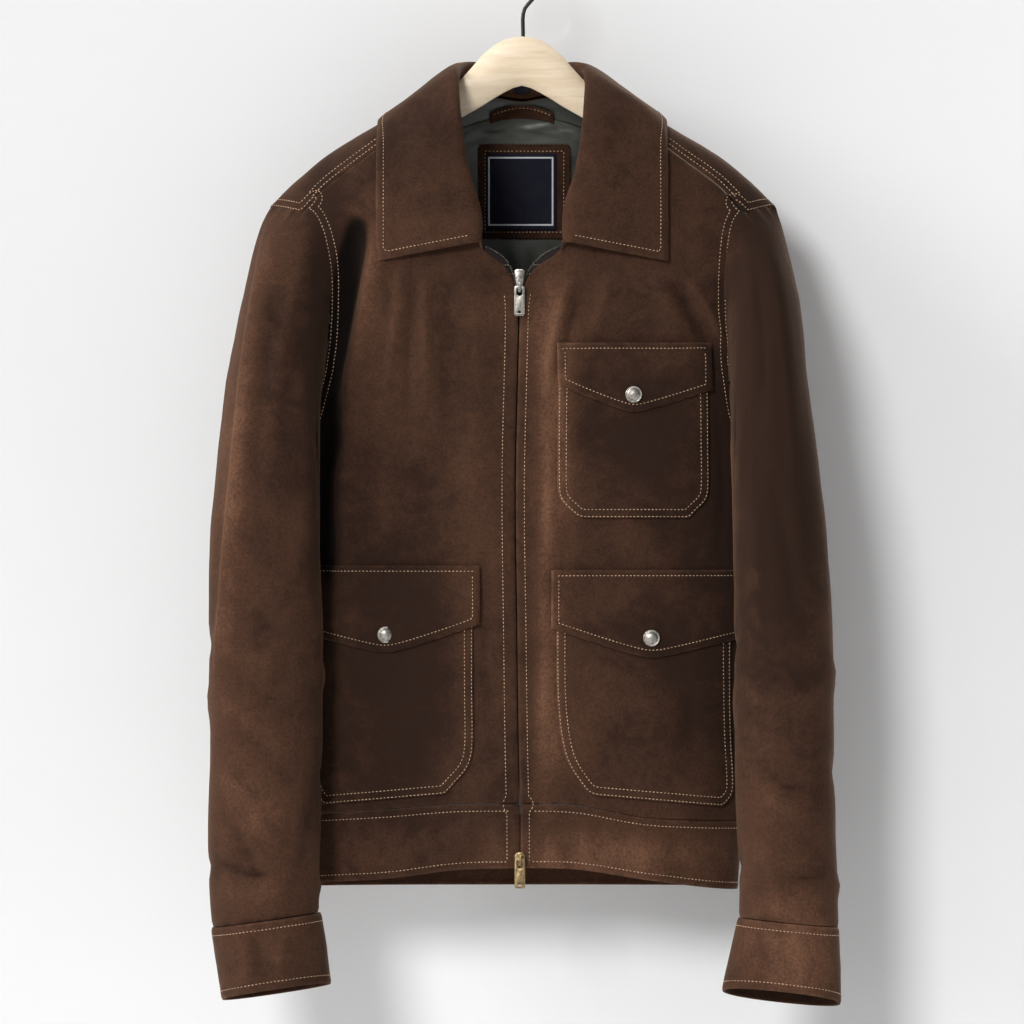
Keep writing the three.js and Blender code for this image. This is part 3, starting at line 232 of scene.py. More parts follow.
# Numbers that mix a cell's place and a seed into an even spread
MIX_X, MIX_Y, MIX_Z, MIX_SEED, MIX_AGAIN = 73856093, 19349663, 83492791, 40503, 1274126177
HALF_OF_MIXED = 32767.5


def soft_noise(points, size, seed):
    """Smooth noise from -1 to 1, with bumps about one size across. Points and size are in millimetres."""
    cell = points / size
    base = np.floor(cell).astype(np.int64)
    within = cell - base
    within = within * within * (3 - 2 * within)
    total = np.zeros(len(points))
    for corner in product((0, 1), repeat=3):
        i, j, k = (base + corner).T
        mixed = (i * MIX_X) ^ (j * MIX_Y) ^ (k * MIX_Z) ^ (seed * MIX_SEED)
        mixed = ((mixed ^ (mixed >> 13)) * MIX_AGAIN) & 0x7FFFFFFF
        value = ((mixed ^ (mixed >> 15)) & 0xFFFF) / HALF_OF_MIXED - 1
        weight = np.prod(np.where(corner, within, 1 - within), axis=1)
        total += value * weight
    return total


CREASE_COLUMNS = ("faces", "start", "middle", "end", "width", "height", "lee")
CREASE_STEPS = 10
FACING_GAIN = 1.6
END_FADE = 0.7
FACES = {"front": (0, -1), "back": (0, 1), "right": (-1, 0), "left": (1, 0)}


def facing_share(normals, faces):
    """How much each point faces a side, from 0 to 1."""
    return np.clip(normals[:, :2] @ np.array(FACES[faces]) * FACING_GAIN, 0, 1)


def crease_line(row):
    """The points of a crease, bent through its middle."""
    start, middle, end = (np.array(row[key], float) for key in ("start", "middle", "end"))
    pull = 2 * middle - (start + end) / 2
    t = np.linspace(0, 1, CREASE_STEPS + 1)[:, None]
    return (1 - t) ** 2 * start + 2 * t * (1 - t) * pull + t * t * end


def crease_lift(points, normals, rows):
    """How far creases lift the cloth, in millimetres. A trough has a negative height."""
    lift = np.zeros(len(points))
    for row in (dict(zip(CREASE_COLUMNS, values)) for values in rows):
        facing = facing_share(normals, row["faces"])
        across = points[:, 0] if row["faces"] in ("front", "back") else points[:, 1]
        flat = np.column_stack([across, points[:, 2]])
        line = crease_line(row)
        best, place, side = np.full(len(flat), 1e9), np.zeros(len(flat)), np.zeros(len(flat))
        for step, (a, b) in enumerate(zip(line[:-1], line[1:])):
            run = b - a
            t = np.clip((flat - a) @ run / (run @ run), 0, 1)
            gap = flat - a - t[:, None] * run
            far = np.hypot(*gap.T)
            nearer = far < best
            best = np.where(nearer, far, best)
            place = np.where(nearer, (step + t) / CREASE_STEPS, place)
            side = np.where(nearer, run[0] * gap[:, 1] - run[1] * gap[:, 0], side)
        width = np.where(side > 0, row["width"], row.get("lee", row["width"]))
        ends = np.clip(4 * place * (1 - place), 0, 1) ** END_FADE
        lift += row["height"] * np.exp(-((best / width) ** 2)) * ends * facing
    return lift


# Creases: soft ridges and troughs, in millimetres, as the cloth hangs. The first place is x on the
# front and the back and y on the sides, the second is z. A last number is the width on the lee side.
BODY_CREASES = [
    ("front", (-124, -236), (-143, -312), (-165, -420), 12, 6.0, 5),
    ("front", (-142, -226), (-157, -320), (-172, -450), 11, -13.0),
    ("front", (-166, -385), (-174, -470), (-171, -556), 9, -10.0),
    ("front", (-158, -430), (-160, -480), (-152, -545), 7, 1.6, 5),
    ("front", (-106, -270), (-112, -330), (-124, -412), 6, 2.4, 4),
    ("front", (-94, -270), (-97, -335), (-100, -405), 5, -2.2),
    ("front", (-82, -272), (-84, -330), (-82, -395), 5, 1.9),
    ("front", (-66, -280), (-64, -350), (-70, -452), 8, -1.8),
    ("front", (-44, -290), (-40, -380), (-46, -500), 10, 1.5),
    ("front", (-124, -425), (-118, -470), (-130, -528), 9, 1.6),
    ("front", (-98, -440), (-84, -480), (-92, -530), 8, -1.4),
    ("front", (-28, -500), (-32, -610), (-22, -742), 6, -1.8),
    ("front", (58, -284), (42, -322), (34, -378), 6, -2.6),
    ("front", (44, -282), (27, -338), (20, -412), 6, 3.0, 5),
    ("front", (19, -396), (24, -470), (17, -562), 6, 2.6),
    ("front", (33, -420), (37, -500), (30, -580), 6, -1.8),
    ("front", (17, -545), (21, -640), (13, -742), 6, 2.0),
    ("front", (76, -276), (70, -306), (60, -338), 6, 1.8),
    ("front", (144, -284), (163, -312), (180, -350), 4.5, 3.0),
    ("front", (132, -286), (152, -324), (174, -368), 5, -2.6),
    ("front", (112, -280), (126, -306), (140, -336), 7, 1.4),
    ("front", (170, -385), (176, -455), (172, -530), 6, -2.4),
    ("front", (60, -640), (100, -655), (150, -640), 14, 1.6),
    ("front", (48, -700), (80, -690), (96, -652), 9, -1.5),
    ("front", (130, -730), (146, -690), (140, -640), 10, -1.4),
    ("front", (-60, -640), (-110, -660), (-160, -640), 14, 1.5),
    ("front", (-70, -660), (-92, -690), (-88, -728), 9, -1.5),
    ("front", (-150, -655), (-136, -690), (-146, -730), 9, 1.3),
    ("front", (-34, -752), (-20, -780), (-24, -812), 7, 2.0),
    ("front", (24, -754), (40, -782), (36, -815), 8, -1.8),
    ("front", (62, -752), (56, -780), (70, -815), 6, 1.5),
    ("front", (92, -758), (108, -785), (98, -818), 9, 1.6),
    ("front", (140, -762), (132, -790), (146, -822), 8, -1.5),
    ("front", (-78, -754), (-70, -782), (-80, -812), 7, -1.5),
    ("front", (-120, -758), (-108, -785), (-116, -815), 9, 1.5),
    ("front", (-160, -760), (-150, -790), (-158, -820), 8, -1.4),
    ("back", (-150, -300), (-120, -345), (-70, -372), 9, 2.6, 6),
    ("back", (156, -310), (124, -350), (84, -392), 8, 2.8, 6),
    ("back", (148, -352), (128, -400), (116, -470), 7, -2.6),
    ("back", (-160, -360), (-136, -420), (-128, -500), 8, -2.4),
    ("back", (-30, -450), (-24, -560), (-38, -680), 12, -2.0),
    ("back", (10, -300), (6, -400), (14, -520), 14, 1.4),
    ("back", (62, -420), (70, -500), (58, -600), 10, 1.5),
    ("back", (112, -520), (104, -620), (118, -738), 10, 2.0),
    ("back", (-112, -560), (-120, -650), (-104, -742), 9, 2.0),
    ("back", (30, -600), (36, -680), (24, -748), 8, -1.8),
    ("back", (-70, -640), (-64, -700), (-74, -748), 7, -1.6),
]

SLEEVE_CREASES = [
    ("front", (-221, -226), (-245, -404), (-269, -672), 14, 5.0, 3),
    ("front", (-206, -262), (-222, -360), (-232, -470), 9, -2.2),
    ("front", (-188, -300), (-202, -390), (-214, -480), 10, -2.0),
    ("front", (-184, -420), (-190, -500), (-206, -560), 8, 1.8),
    ("front", (-266, -556), (-240, -574), (-204, -600), 7, -3.2, 5),
    ("front", (-270, -586), (-250, -606), (-212, -622), 6, 2.2),
    ("front", (-264, -612), (-240, -636), (-204, -650), 6, -2.4),
    ("front", (-270, -650), (-240, -664), (-192, -702), 7, 2.4, 5),
    ("front", (-258, -676), (-228, -690), (-196, -724), 6, -2.6),
    ("front", (-188, -560), (-204, -620), (-234, -664), 7, -1.8),
    ("front", (-268, -712), (-240, -738), (-208, -790), 8, 2.2, 5),
    ("front", (-266, -744), (-246, -766), (-226, -808), 6, -2.2),
    ("front", (-268, -782), (-240, -800), (-196, -796), 6, -2.8),
    ("front", (-262, -806), (-234, -820), (-188, -814), 5.5, 2.2),
    ("front", (-186, -735), (-190, -785), (-206, -832), 7, -2.2),
    ("front", (-182, -700), (-192, -740), (-194, -780), 6, 1.8),
    ("front", (-252, -840), (-238, -868), (-246, -902), 7, 1.8),
    ("front", (-224, -842), (-228, -872), (-220, -904), 7, -1.6),
    ("front", (-200, -842), (-208, -874), (-202, -898), 6, 1.6),
    ("right", (-20, -300), (-46, -420), (-52, -560), 9, 2.0),
    ("right", (-84, -580), (-60, -604), (-34, -616), 8, -2.8),
    ("right", (-80, -640), (-58, -655), (-36, -700), 8, 2.2),
    ("right", (-84, -780), (-62, -796), (-40, -790), 7, -2.4),
    ("back", (-200, -420), (-222, -500), (-232, -580), 9, -2.2),
    ("back", (-250, -590), (-226, -606), (-200, -600), 8, 2.6),
    ("back", (-246, -700), (-224, -716), (-196, -740), 8, -2.2),
    ("front", (200, -262), (208, -330), (206, -420), 7, -2.4),
    ("front", (214, -256), (228, -340), (238, -470), 9, 2.4, 6),
    ("front", (192, -420), (202, -520), (196, -620), 8, 2.2),
    ("front", (216, -450), (230, -520), (246, -600), 8, -1.8),
    ("front", (192, -606), (222, -632), (262, -626), 6, -2.8),
    ("front", (190, -632), (220, -652), (262, -650), 6, 2.2),
    ("front", (188, -662), (214, -674), (252, -700), 7, -2.2),
    ("front", (202, -700), (228, -724), (266, -730), 7, -2.6),
    ("front", (198, -716), (226, -742), (264, -752), 6, 2.2),
    ("front", (194, -758), (212, -790), (222, -838), 7, 2.2, 5),
    ("front", (204, -800), (240, -806), (268, -794), 6, -2.8),
    ("front", (194, -822), (228, -828), (264, -818), 5, 2.0),
    ("front", (204, -850), (212, -878), (206, -912), 8, -1.6),
    ("front", (238, -850), (244, -878), (238, -908), 8, 1.8),
    ("left", (-20, -310), (-40, -420), (-56, -540), 9, -2.2),
    ("left", (-86, -610), (-62, -630), (-36, -626), 8, 2.6),
    ("left", (-82, -700), (-60, -716), (-38, -744), 8, -2.4),
    ("left", (-84, -806), (-60, -812), (-40, -800), 7, 2.2),
    ("back", (204, -400), (226, -480), (236, -570), 9, 2.2),
    ("back", (250, -610), (228, -626), (202, -618), 8, -2.6),
    ("back", (256, -740), (230, -756), (206, -770), 8, 2.2),
]

COLLAR_CREASES = [
    ("front", (-104, -120), (-92, -170), (-96, -230), 14, 0.9),
    ("front", (-60, -130), (-66, -180), (-52, -232), 10, -0.7),
    ("front", (100, -110), (88, -165), (94, -225), 13, -0.8),
    ("front", (62, -120), (70, -170), (58, -226), 10, 0.9),
    ("back", (-60, -110), (-20, -118), (30, -112), 10, 0.8),
]

SATIN_WRINKLES = [
    ("front", (-38, -142), (-24, -150), (-10, -143), 2.4, 3.0),
    ("front", (-30, -148), (-18, -158), (-4, -152), 2.0, -2.6),
    ("front", (-16, -143), (-6, -154), (4, -156), 2.0, 2.8),
    ("front", (0, -142), (8, -151), (20, -146), 1.8, 3.0),
    ("front", (6, -150), (16, -158), (30, -150), 1.8, -2.8),
    ("front", (22, -142), (29, -154), (37, -150), 1.8, 2.8),
    ("front", (34, -140), (38, -150), (46, -158), 2.4, -2.6),
    ("front", (-46, -144), (-40, -154), (-30, -160), 2.2, -2.8),
    ("front", (-48, -152), (-42, -160), (-36, -166), 2.4, 2.4),
    ("front", (40, -140), (46, -156), (52, -176), 3.0, 2.6),
    ("front", (-52, -150), (-56, -200), (-48, -250), 5, 2.2),
    ("front", (48, -170), (54, -210), (46, -250), 5, -2.2),
    ("front", (-10, -250), (2, -280), (-4, -330), 6, 2.0),
    ("front", (14, -250), (18, -300), (8, -360), 6, -1.8),
    ("front", (-80, -300), (-60, -420), (-84, -560), 12, 2.4),
    ("front", (70, -320), (88, -440), (64, -600), 12, -2.4),
    ("front", (-20, -420), (0, -520), (-24, -640), 12, 1.8),
    ("front", (120, -300), (128, -420), (108, -540), 10, 2.0),
    ("front", (-124, -320), (-116, -440), (-132, -560), 10, -2.0),
]

# Patches where the suede is lighter (a positive lift) or darker: partly nap that lies up or down, partly
# painted light, with the half width and half height of each patch in millimetres
NAP_AND_PAINTED_LIGHT_COLUMNS = ("faces", "x", "z", "wide", "tall", "lift")
NAP_AND_PAINTED_LIGHT_PATCHES = [
    # painted highlight along the ridge beside the zip
    ("front", 30, -420, 15, 140, 2.0),
    ("front", 22, -650, 12, 110, 1.6),
    ("front", 10, -330, 22, 60, 0.7),
    ("front", -40, -560, 20, 160, 0.5),
    ("front", 90, -788, 90, 26, 1.7),
    ("front", 50, -690, 26, 50, 0.6),
    ("front", -90, -785, 80, 20, 0.3),
    ("front", -130, -280, 10, 70, 0.7),
    ("front", -256, -440, 20, 210, 0.8),
    ("front", -222, -760, 40, 150, 0.8),
    ("front", 232, -872, 46, 60, 1.7),
    ("front", 215, -720, 20, 60, 0.4),
    # painted shade over the upper sleeve at +x
    ("front", 222, -370, 44, 190, -2.4),
    ("front", 105, -420, 62, 70, -0.9),
    ("front", 140, -620, 60, 90, -0.6),
    ("front", -110, -630, 64, 110, -1.2),
    # painted shade in the recess beside the sleeve at -x
    ("front", -172, -370, 14, 160, -1.8),
    ("back", -60, -400, 60, 140, 0.6),
    ("back", 90, -600, 60, 120, 0.5),
    ("back", 0, -786, 120, 24, 0.7),
    ("back", 150, -380, 50, 110, -0.6),
    ("back", -140, -640, 40, 120, -0.5),
]


def nap_and_painted_light_at(points, normals):
    """How much lighter or darker the suede is at each point from its patches, as they face: partly nap,
    partly painted highlight and shade.
    """
    lift = np.zeros(len(points))
    for row in (dict(zip(NAP_AND_PAINTED_LIGHT_COLUMNS, values)) for values in NAP_AND_PAINTED_LIGHT_PATCHES):
        facing = facing_share(normals, row["faces"])
        far = ((points[:, 0] - row["x"]) / row["wide"]) ** 2 + ((points[:, 2] - row["z"]) / row["tall"]) ** 2
        lift += row["lift"] * np.exp(-far) * facing
    return lift


# How uneven each cloth is: bumps of one size and height, with a seed
SUEDE_BUMPS = [(74, 1.1, 3), (31, 0.55, 5), (12, 0.18, 8)]
BAND_BUMPS = [(60, 0.7, 13), (24, 0.4, 15), (9, 0.2, 18)]
SATIN_BUMPS = [(22, 0.7, 23), (9, 0.35, 25)]
ROLL_WIDTH = 3.6
ROLL_DEPTH = 0.9
RIDGE_RANGE = 5.0
# Neighbours lie at other depths, so depth counts little in the bumps that they share
DEPTH_SHARE = 0.3
# The deepest trough of a cloth, and of the ones that lie close on each other
DEEPEST_TROUGH = 20.0
DEEPEST_ON = {"back": 1.2, "lining_back": 0.4}


def lifted(made, creases, bumps, roll=ROLL_DEPTH, deepest=DEEPEST_TROUGH):
    """Moves a cloth's points by its creases, bumps and rolled edges, and keeps what a finish reads."""
    mesh = made.data
    points = vertex_values(mesh, "co", 3) / MM
    normals = vertex_values(mesh, "normal", 3)
    pairs = open_edges(mesh)
    near = distances(points, along_edges(points, pairs)) if len(pairs) else np.full(len(points), 1e3)
    ridge = crease_lift(points, normals, creases)
    place = points * (1, DEPTH_SHARE, 1)
    for size, height, seed in bumps:
        ridge += height * soft_noise(place, size, seed)
    ridge = np.where(ridge < 0, deepest * np.tanh(ridge / deepest), ridge)
    edge = np.clip(1 - near / ROLL_WIDTH, 0, 1)
    set_points(mesh, (points + normals * (ridge - roll * edge**2)[:, None]) * MM)
    # The suede finish paints the crease height as light, ridges lighter and troughs darker, and reads the
    # patches as nap and painted light.
    store(mesh, "ridge", np.clip(ridge / RIDGE_RANGE, -1, 1))
    store(mesh, "near_edge", near)
    store(mesh, "nap_and_painted_light", nap_and_painted_light_at(points, normals))
    return made


def walled(made, thickness):
    wall = made.modifiers.new("wall", "SOLIDIFY")
    wall.thickness = thickness
    wall.offset = -1
    if len(made.data.materials) > 1:
        wall.material_offset = 1
    return made


def dressed(made, *materials):
    made.data.materials.clear()
    for material in materials:
        made.data.materials.append(material)
    return made


def declared(made, node):
    """The cloth rides on the jacket's body and stands for its CAD wall, which it hides."""
    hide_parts(node)
    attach(made, CLOTH_BODY)
    return made


def cloth(
    node, thickness, materials, creases, bumps, facing=None, levels=None, roll=ROLL_DEPTH
):
    """A cloth piece on its CAD wall's outer face, walled inwards, for which it stands."""
    made = object_from(outer_face(node, facing), f"{node}_cloth")
    smoothed(made, levels or sizes().smoothing)
    lifted(made, creases, bumps, roll, DEEPEST_ON.get(node, DEEPEST_TROUGH))
    walled(dressed(made, *materials), thickness)
    return declared(made, node)


# Finishes


def node_in(tree, kind, inputs=None, **settings):
    """A shader node with its settings and its inputs, which are values or the sockets that feed them."""
    made = tree.nodes.new(kind)
    for name, value in settings.items():
        setattr(made, name, value)
    for name, value in (inputs or {}).items():
        if isinstance(value, bpy.types.NodeSocket):
            tree.links.new(value, made.inputs[name])
        else:
            made.inputs[name].default_value = value
    return made


def new_finish(name, **shader):
    """A material with one Principled shader, its tree and its shader."""
    material = bpy.data.materials.new(name)
    material.use_nodes = True
    tree = material.node_tree
    tree.nodes.clear()
    principled = node_in(tree, "ShaderNodeBsdfPrincipled", shader)
    output = node_in(tree, "ShaderNodeOutputMaterial")
    tree.links.new(principled.outputs["BSDF"], output.inputs["Surface"])
    return material, tree, principled


def noise_in(tree, place, scale, detail=3.0, roughness=0.55, distortion=0.0):
    made = node_in(
        tree,
        "ShaderNodeTexNoise",
        {"Vector": place, "Scale": scale, "Detail": detail, "Roughness": roughness, "Distortion": distortion},
    )
    return made.outputs["Fac"]


def ramp_in(tree, value, low, high, to_low=0.0, to_high=1.0):
    made = node_in(
        tree,
        "ShaderNodeMapRange",
        {"Value": value, "From Min": low, "From Max": high, "To Min": to_low, "To Max": to_high},
        interpolation_type="SMOOTHSTEP",
    )
    return made.outputs["Result"]


def math_in(tree, operation, first, second=0.0, third=None):
    made = tree.nodes.new("ShaderNodeMath")
    made.operation = operation
    for index, value in enumerate((first, second) if third is None else (first, second, third)):
        if isinstance(value, bpy.types.NodeSocket):
            tree.links.new(value, made.inputs[index])
        else:
            made.inputs[index].default_value = value
    return made.outputs[0]


def mix_in(tree, factor, first, second, blend="MIX"):
    made = tree.nodes.new("ShaderNodeMix")
    made.data_type = "RGBA"
    made.blend_type = blend
    for index, value in ((0, factor), (6, first), (7, second)):
        if isinstance(value, bpy.types.NodeSocket):
            tree.links.new(value, made.inputs[index])
        else:
            made.inputs[index].default_value = value
    return made.outputs[2]


def rgba(values):
    return (*values, 1.0)


def group_of(name, inputs, outputs):
    """A node group with named sockets, and its two ends."""
    group = bpy.data.node_groups.new(name, "ShaderNodeTree")
    for label, kind, default in inputs:
        socket = group.interface.new_socket(name=label, in_out="INPUT", socket_type=kind)
        if default is not None:
            socket.default_value = default
    for label, kind in outputs:
        group.interface.new_socket(name=label, in_out="OUTPUT", socket_type=kind)
    return group, group.nodes.new("NodeGroupInput"), group.nodes.new("NodeGroupOutput")


NUMBER, TINT, PLACE = "NodeSocketFloat", "NodeSocketColor", "NodeSocketVector"


FIBRE_GLINT = (1.5, 1.46, 1.42, 1.0)
# Painted shade that the deepest crease troughs are multiplied towards
HOLLOW_SHADE = (0.12, 0.11, 0.10, 1.0)


def nap_group():
    """Suede: cloudy patches, brush marks, a short nap and fibres, lighter where it is rubbed, with painted
    light: lighter ridges and darker troughs, patches of painted highlight and shade, and painted shade in
    deep troughs.
    """
    if "suede_nap" in bpy.data.node_groups:
        return bpy.data.node_groups["suede_nap"]
    group, start, end = group_of(
        "suede_nap",
        [
            ("Place", PLACE, None),
            ("Light", TINT, None),
            ("Mid", TINT, None),
            ("Deep", TINT, None),
            ("Ridge", NUMBER, 0.0),
            ("Near Edge", NUMBER, 100.0),
            ("Nap And Painted Light", NUMBER, 0.0),
        ],
        [("Color", TINT), ("Roughness", NUMBER), ("Height", NUMBER)],
    )
    place = start.outputs["Place"]
    clouds = noise_in(group, place, 13.0, 5.0, 0.6, 0.4)
    marks = noise_in(group, place, 52.0, 5.0, 0.62, 1.2)
    nap = noise_in(group, place, 420.0, 4.0, 0.65)
    fibres = noise_in(group, place, 1900.0, 2.0, 0.6)
    ridge = start.outputs["Ridge"]
    lightness = math_in(group, "MULTIPLY_ADD", clouds, 0.30, math_in(group, "MULTIPLY", marks, 0.20))
    # The ridge term is painted light: ridges lighter and troughs darker. The patch term is partly nap, partly
    # painted highlight and shade.
    for part, weight in ((nap, 0.12), (fibres, 0.06), (ridge, 0.10), (start.outputs["Nap And Painted Light"], 0.13)):
        lightness = math_in(group, "MULTIPLY_ADD", part, weight, lightness)
    rubbed = ramp_in(group, start.outputs["Near Edge"], 0.0, 3.0, 1.0, 0.0)
    rubbed = math_in(group, "MULTIPLY", rubbed, ramp_in(group, marks, 0.32, 0.62))
    lightness = math_in(group, "MULTIPLY_ADD", rubbed, 0.10, lightness)
    lightness = math_in(group, "ADD", lightness, 0.12)
    lower = mix_in(group, ramp_in(group, lightness, 0.34, 0.54), start.outputs["Deep"], start.outputs["Mid"])
    nap_and_painted_light = mix_in(group, ramp_in(group, lightness, 0.50, 0.80), lower, start.outputs["Light"])
    speckled = mix_in(group, ramp_in(group, fibres, 0.38, 0.66), nap_and_painted_light, FIBRE_GLINT, "MULTIPLY")
    nap_colour = mix_in(group, ramp_in(group, nap, 0.58, 0.36, 0.0, 0.30), speckled, start.outputs["Deep"])
    # Painted shade: the deepest crease troughs are darkened towards HOLLOW_SHADE.
    hollow = ramp_in(group, ridge, -0.35, -1.0)
    nap_colour = mix_in(group, hollow, nap_colour, HOLLOW_SHADE, "MULTIPLY")
    group.links.new(nap_colour, end.inputs["Color"])
    group.links.new(ramp_in(group, nap, 0.2, 0.8, 0.86, 1.0), end.inputs["Roughness"])
    height = math_in(group, "MULTIPLY_ADD", fibres, 0.35, math_in(group, "MULTIPLY", nap, 0.65))
    height = math_in(group, "MULTIPLY_ADD", marks, 0.9, height)
    group.links.new(height, end.inputs["Height"])
    return group


def object_place(tree):
    return node_in(tree, "ShaderNodeTexCoord").outputs["Object"]


def attribute_in(tree, name):
    return node_in(tree, "ShaderNodeAttribute", attribute_name=name).outputs["Fac"]


def wave_in(tree, place, scale, direction, distortion=0.0):
    inputs = {"Vector": place, "Scale": scale, "Distortion": distortion}
    return node_in(tree, "ShaderNodeTexWave", inputs, bands_direction=direction).outputs["Fac"]


def stretched_in(tree, place, scale):
    return node_in(tree, "ShaderNodeMapping", {"Vector": place, "Scale": scale}).outputs["Vector"]


def scaled(tone, factor):
    return rgba([factor * part for part in tone])


def fed(tree, shader, base, roughness, height, strength, distance):
    """Gives a shader its colour, its roughness and its bump."""
    bump = node_in(tree, "ShaderNodeBump", {"Height": height, "Strength": strength, "Distance": distance})
    for name, socket in (("Base Color", base), ("Roughness", roughness), ("Normal", bump.outputs["Normal"])):
        tree.links.new(socket, shader.inputs[name])


def made_once(make):
    """A finish that is made the first time and found by its name after that."""

    def found(name, *values):
        return bpy.data.materials.get(name) or make(name, *values)

    return found


SUEDE_SHADER = {
    "Specular IOR Level": 0.12,
    "Sheen Weight": 0.22,
    "Sheen Roughness": 0.42,
    "Sheen Tint": (0.62, 0.40, 0.26, 1.0),
}


@made_once
def suede_finish(name, light, mid, deep):
    material, tree, shader = new_finish(name, **SUEDE_SHADER)
    nap = node_in(tree, "ShaderNodeGroup", node_tree=nap_group())
    for label, value in (("Light", light), ("Mid", mid), ("Deep", deep)):
        nap.inputs[label].default_value = rgba(value)
    tree.links.new(object_place(tree), nap.inputs["Place"])
    for label, attribute in (("Ridge", "ridge"), ("Near Edge", "near_edge"), ("Nap And Painted Light", "nap_and_painted_light")):
        tree.links.new(attribute_in(tree, attribute), nap.inputs[label])
    fed(tree, shader, *(nap.outputs[label] for label in ("Color", "Roughness", "Height")), 0.55, 0.0009)
    return material


def suede_tones():
    tones = colours()
    return tones.suede_light, tones.suede_mid, tones.suede_deep


def suede():
    return suede_finish("brown_suede", *suede_tones())


# Painted shade: a darker copy of the suede for the cuffs' inner faces, the neck patch and the hanging loop
DARKER = 0.8


def shaded_suede():
    darker = [[DARKER * part for part in tone] for tone in suede_tones()]
    return suede_finish("brown_suede_inside", *darker)


SATIN_SHADER = {
    "Specular IOR Level": 0.6,
    "Sheen Weight": 0.25,
    "Sheen Roughness": 0.3,
    "Sheen Tint": (0.5, 0.56, 0.5, 1),
}


@made_once
def satin_finish(name, tone):
    """Satin: smooth, with a fine diagonal weave and soft streaks."""
    material, tree, shader = new_finish(name, **SATIN_SHADER)
    place = object_place(tree)
    streaks = noise_in(tree, place, 40.0, 4.0, 0.6, 0.8)
    weave = wave_in(tree, place, 900.0, "DIAGONAL", 1.0)
    base = mix_in(tree, ramp_in(tree, streaks, 0.3, 0.7), scaled(tone, 0.62), scaled(tone, 1.35))
    fed(tree, shader, base, ramp_in(tree, streaks, 0.2, 0.8, 0.30, 0.46), weave, 0.12, 0.0002)
    return material


def satin():
    return satin_finish("olive_satin", colours().lining)


@made_once
def woven(name, tone, lighter=1.5, scale=700.0):
    """Plain weave for the tapes, and for the label and tag."""
    material, tree, shader = new_finish(name, **{"Specular IOR Level": 0.25})
    place = object_place(tree)
    threads = math_in(tree, "MULTIPLY", wave_in(tree, place, scale, "X"), wave_in(tree, place, scale, "Z"))
    worn = noise_in(tree, place, 90.0, 4.0)
    seen = math_in(tree, "MULTIPLY", threads, ramp_in(tree, worn, 0.3, 0.7, 0.6, 1.0))
    base = mix_in(tree, seen, rgba(tone), scaled(tone, lighter))
    fed(tree, shader, base, ramp_in(tree, worn, 0.2, 0.8, 0.72, 0.9), threads, 0.4, 0.0002)
    return material


# The label's woven frame: its centre, half size and half line width, in metres
LABEL_FRAME = {"x": -0.0010, "z": -0.2047, "half_x": 0.0280, "half_z": 0.0295, "half_line": 0.0007}
FRAME_LINE = (0.62, 0.63, 0.66, 1.0)


def label_finish():
    """The navy label with a plain woven frame line on it, and nothing inside the frame."""
    material = woven("navy_label", colours().label, 2.0, 900.0)
    tree = material.node_tree
    shader = next(node for node in tree.nodes if node.type == "BSDF_PRINCIPLED")
    place = node_in(tree, "ShaderNodeSeparateXYZ", {"Vector": object_place(tree)})
    sides = []
    for axis, centre, half in (("X", "x", "half_x"), ("Z", "z", "half_z")):
        gap = math_in(tree, "ABSOLUTE", math_in(tree, "SUBTRACT", place.outputs[axis], LABEL_FRAME[centre]))
        sides.append(math_in(tree, "SUBTRACT", gap, LABEL_FRAME[half]))
    outline = math_in(tree, "ABSOLUTE", math_in(tree, "MAXIMUM", *sides))
    line = math_in(tree, "LESS_THAN", outline, LABEL_FRAME["half_line"])
    before = shader.inputs["Base Color"].links[0].from_socket
    tree.links.new(mix_in(tree, line, before, FRAME_LINE), shader.inputs["Base Color"])
    return material


def wood():
    """Pale wood with fine grain along the hanger."""
    tone = colours().wood
    coat = {"Specular IOR Level": 0.35, "Coat Weight": 0.12, "Coat Roughness": 0.35}
    material, tree, shader = new_finish("pale_wood", **coat)
    place = object_place(tree)
    drawn_out = stretched_in(tree, place, (4.0, 60.0, 60.0))
    grain = noise_in(tree, drawn_out, 2.4, 6.0, 0.62, 0.5)
    pores = noise_in(tree, drawn_out, 22.0, 3.0, 0.7)
    patches = noise_in(tree, place, 14.0, 3.0)
    late = rgba([0.86 * tone[0], 0.80 * tone[1], 0.72 * tone[2]])
    base = mix_in(tree, ramp_in(tree, grain, 0.35, 0.7), rgba(tone), late)
    base = mix_in(tree, ramp_in(tree, pores, 0.60, 0.74, 0.0, 0.25), base, scaled(tone, 0.6))
    base = mix_in(tree, ramp_in(tree, patches, 0.4, 0.7, 0.0, 0.18), base, scaled(tone, 1.1))
    fed(tree, shader, base, ramp_in(tree, grain, 0.3, 0.7, 0.42, 0.56), pores, 0.12, 0.0003)
    return material


PLATING_ROUGHNESS = (0.34, 0.56)


@made_once
def metal(name, tone):
    """Antique plated metal: darker and rougher in random stains, with fine scratches."""
    material, tree, shader = new_finish(name, Metallic=1.0)
    place = object_place(tree)
    stains = noise_in(tree, place, 420.0, 5.0, 0.65, 0.4)
    scratches = noise_in(tree, stretched_in(tree, place, (1.0, 1.0, 7.0)), 900.0, 3.0)
    base = mix_in(tree, ramp_in(tree, stains, 0.42, 0.66), rgba(tone), scaled(tone, 0.42))
    fed(tree, shader, base, ramp_in(tree, stains, 0.3, 0.7, *PLATING_ROUGHNESS), scratches, 0.10, 0.00015)
    return material


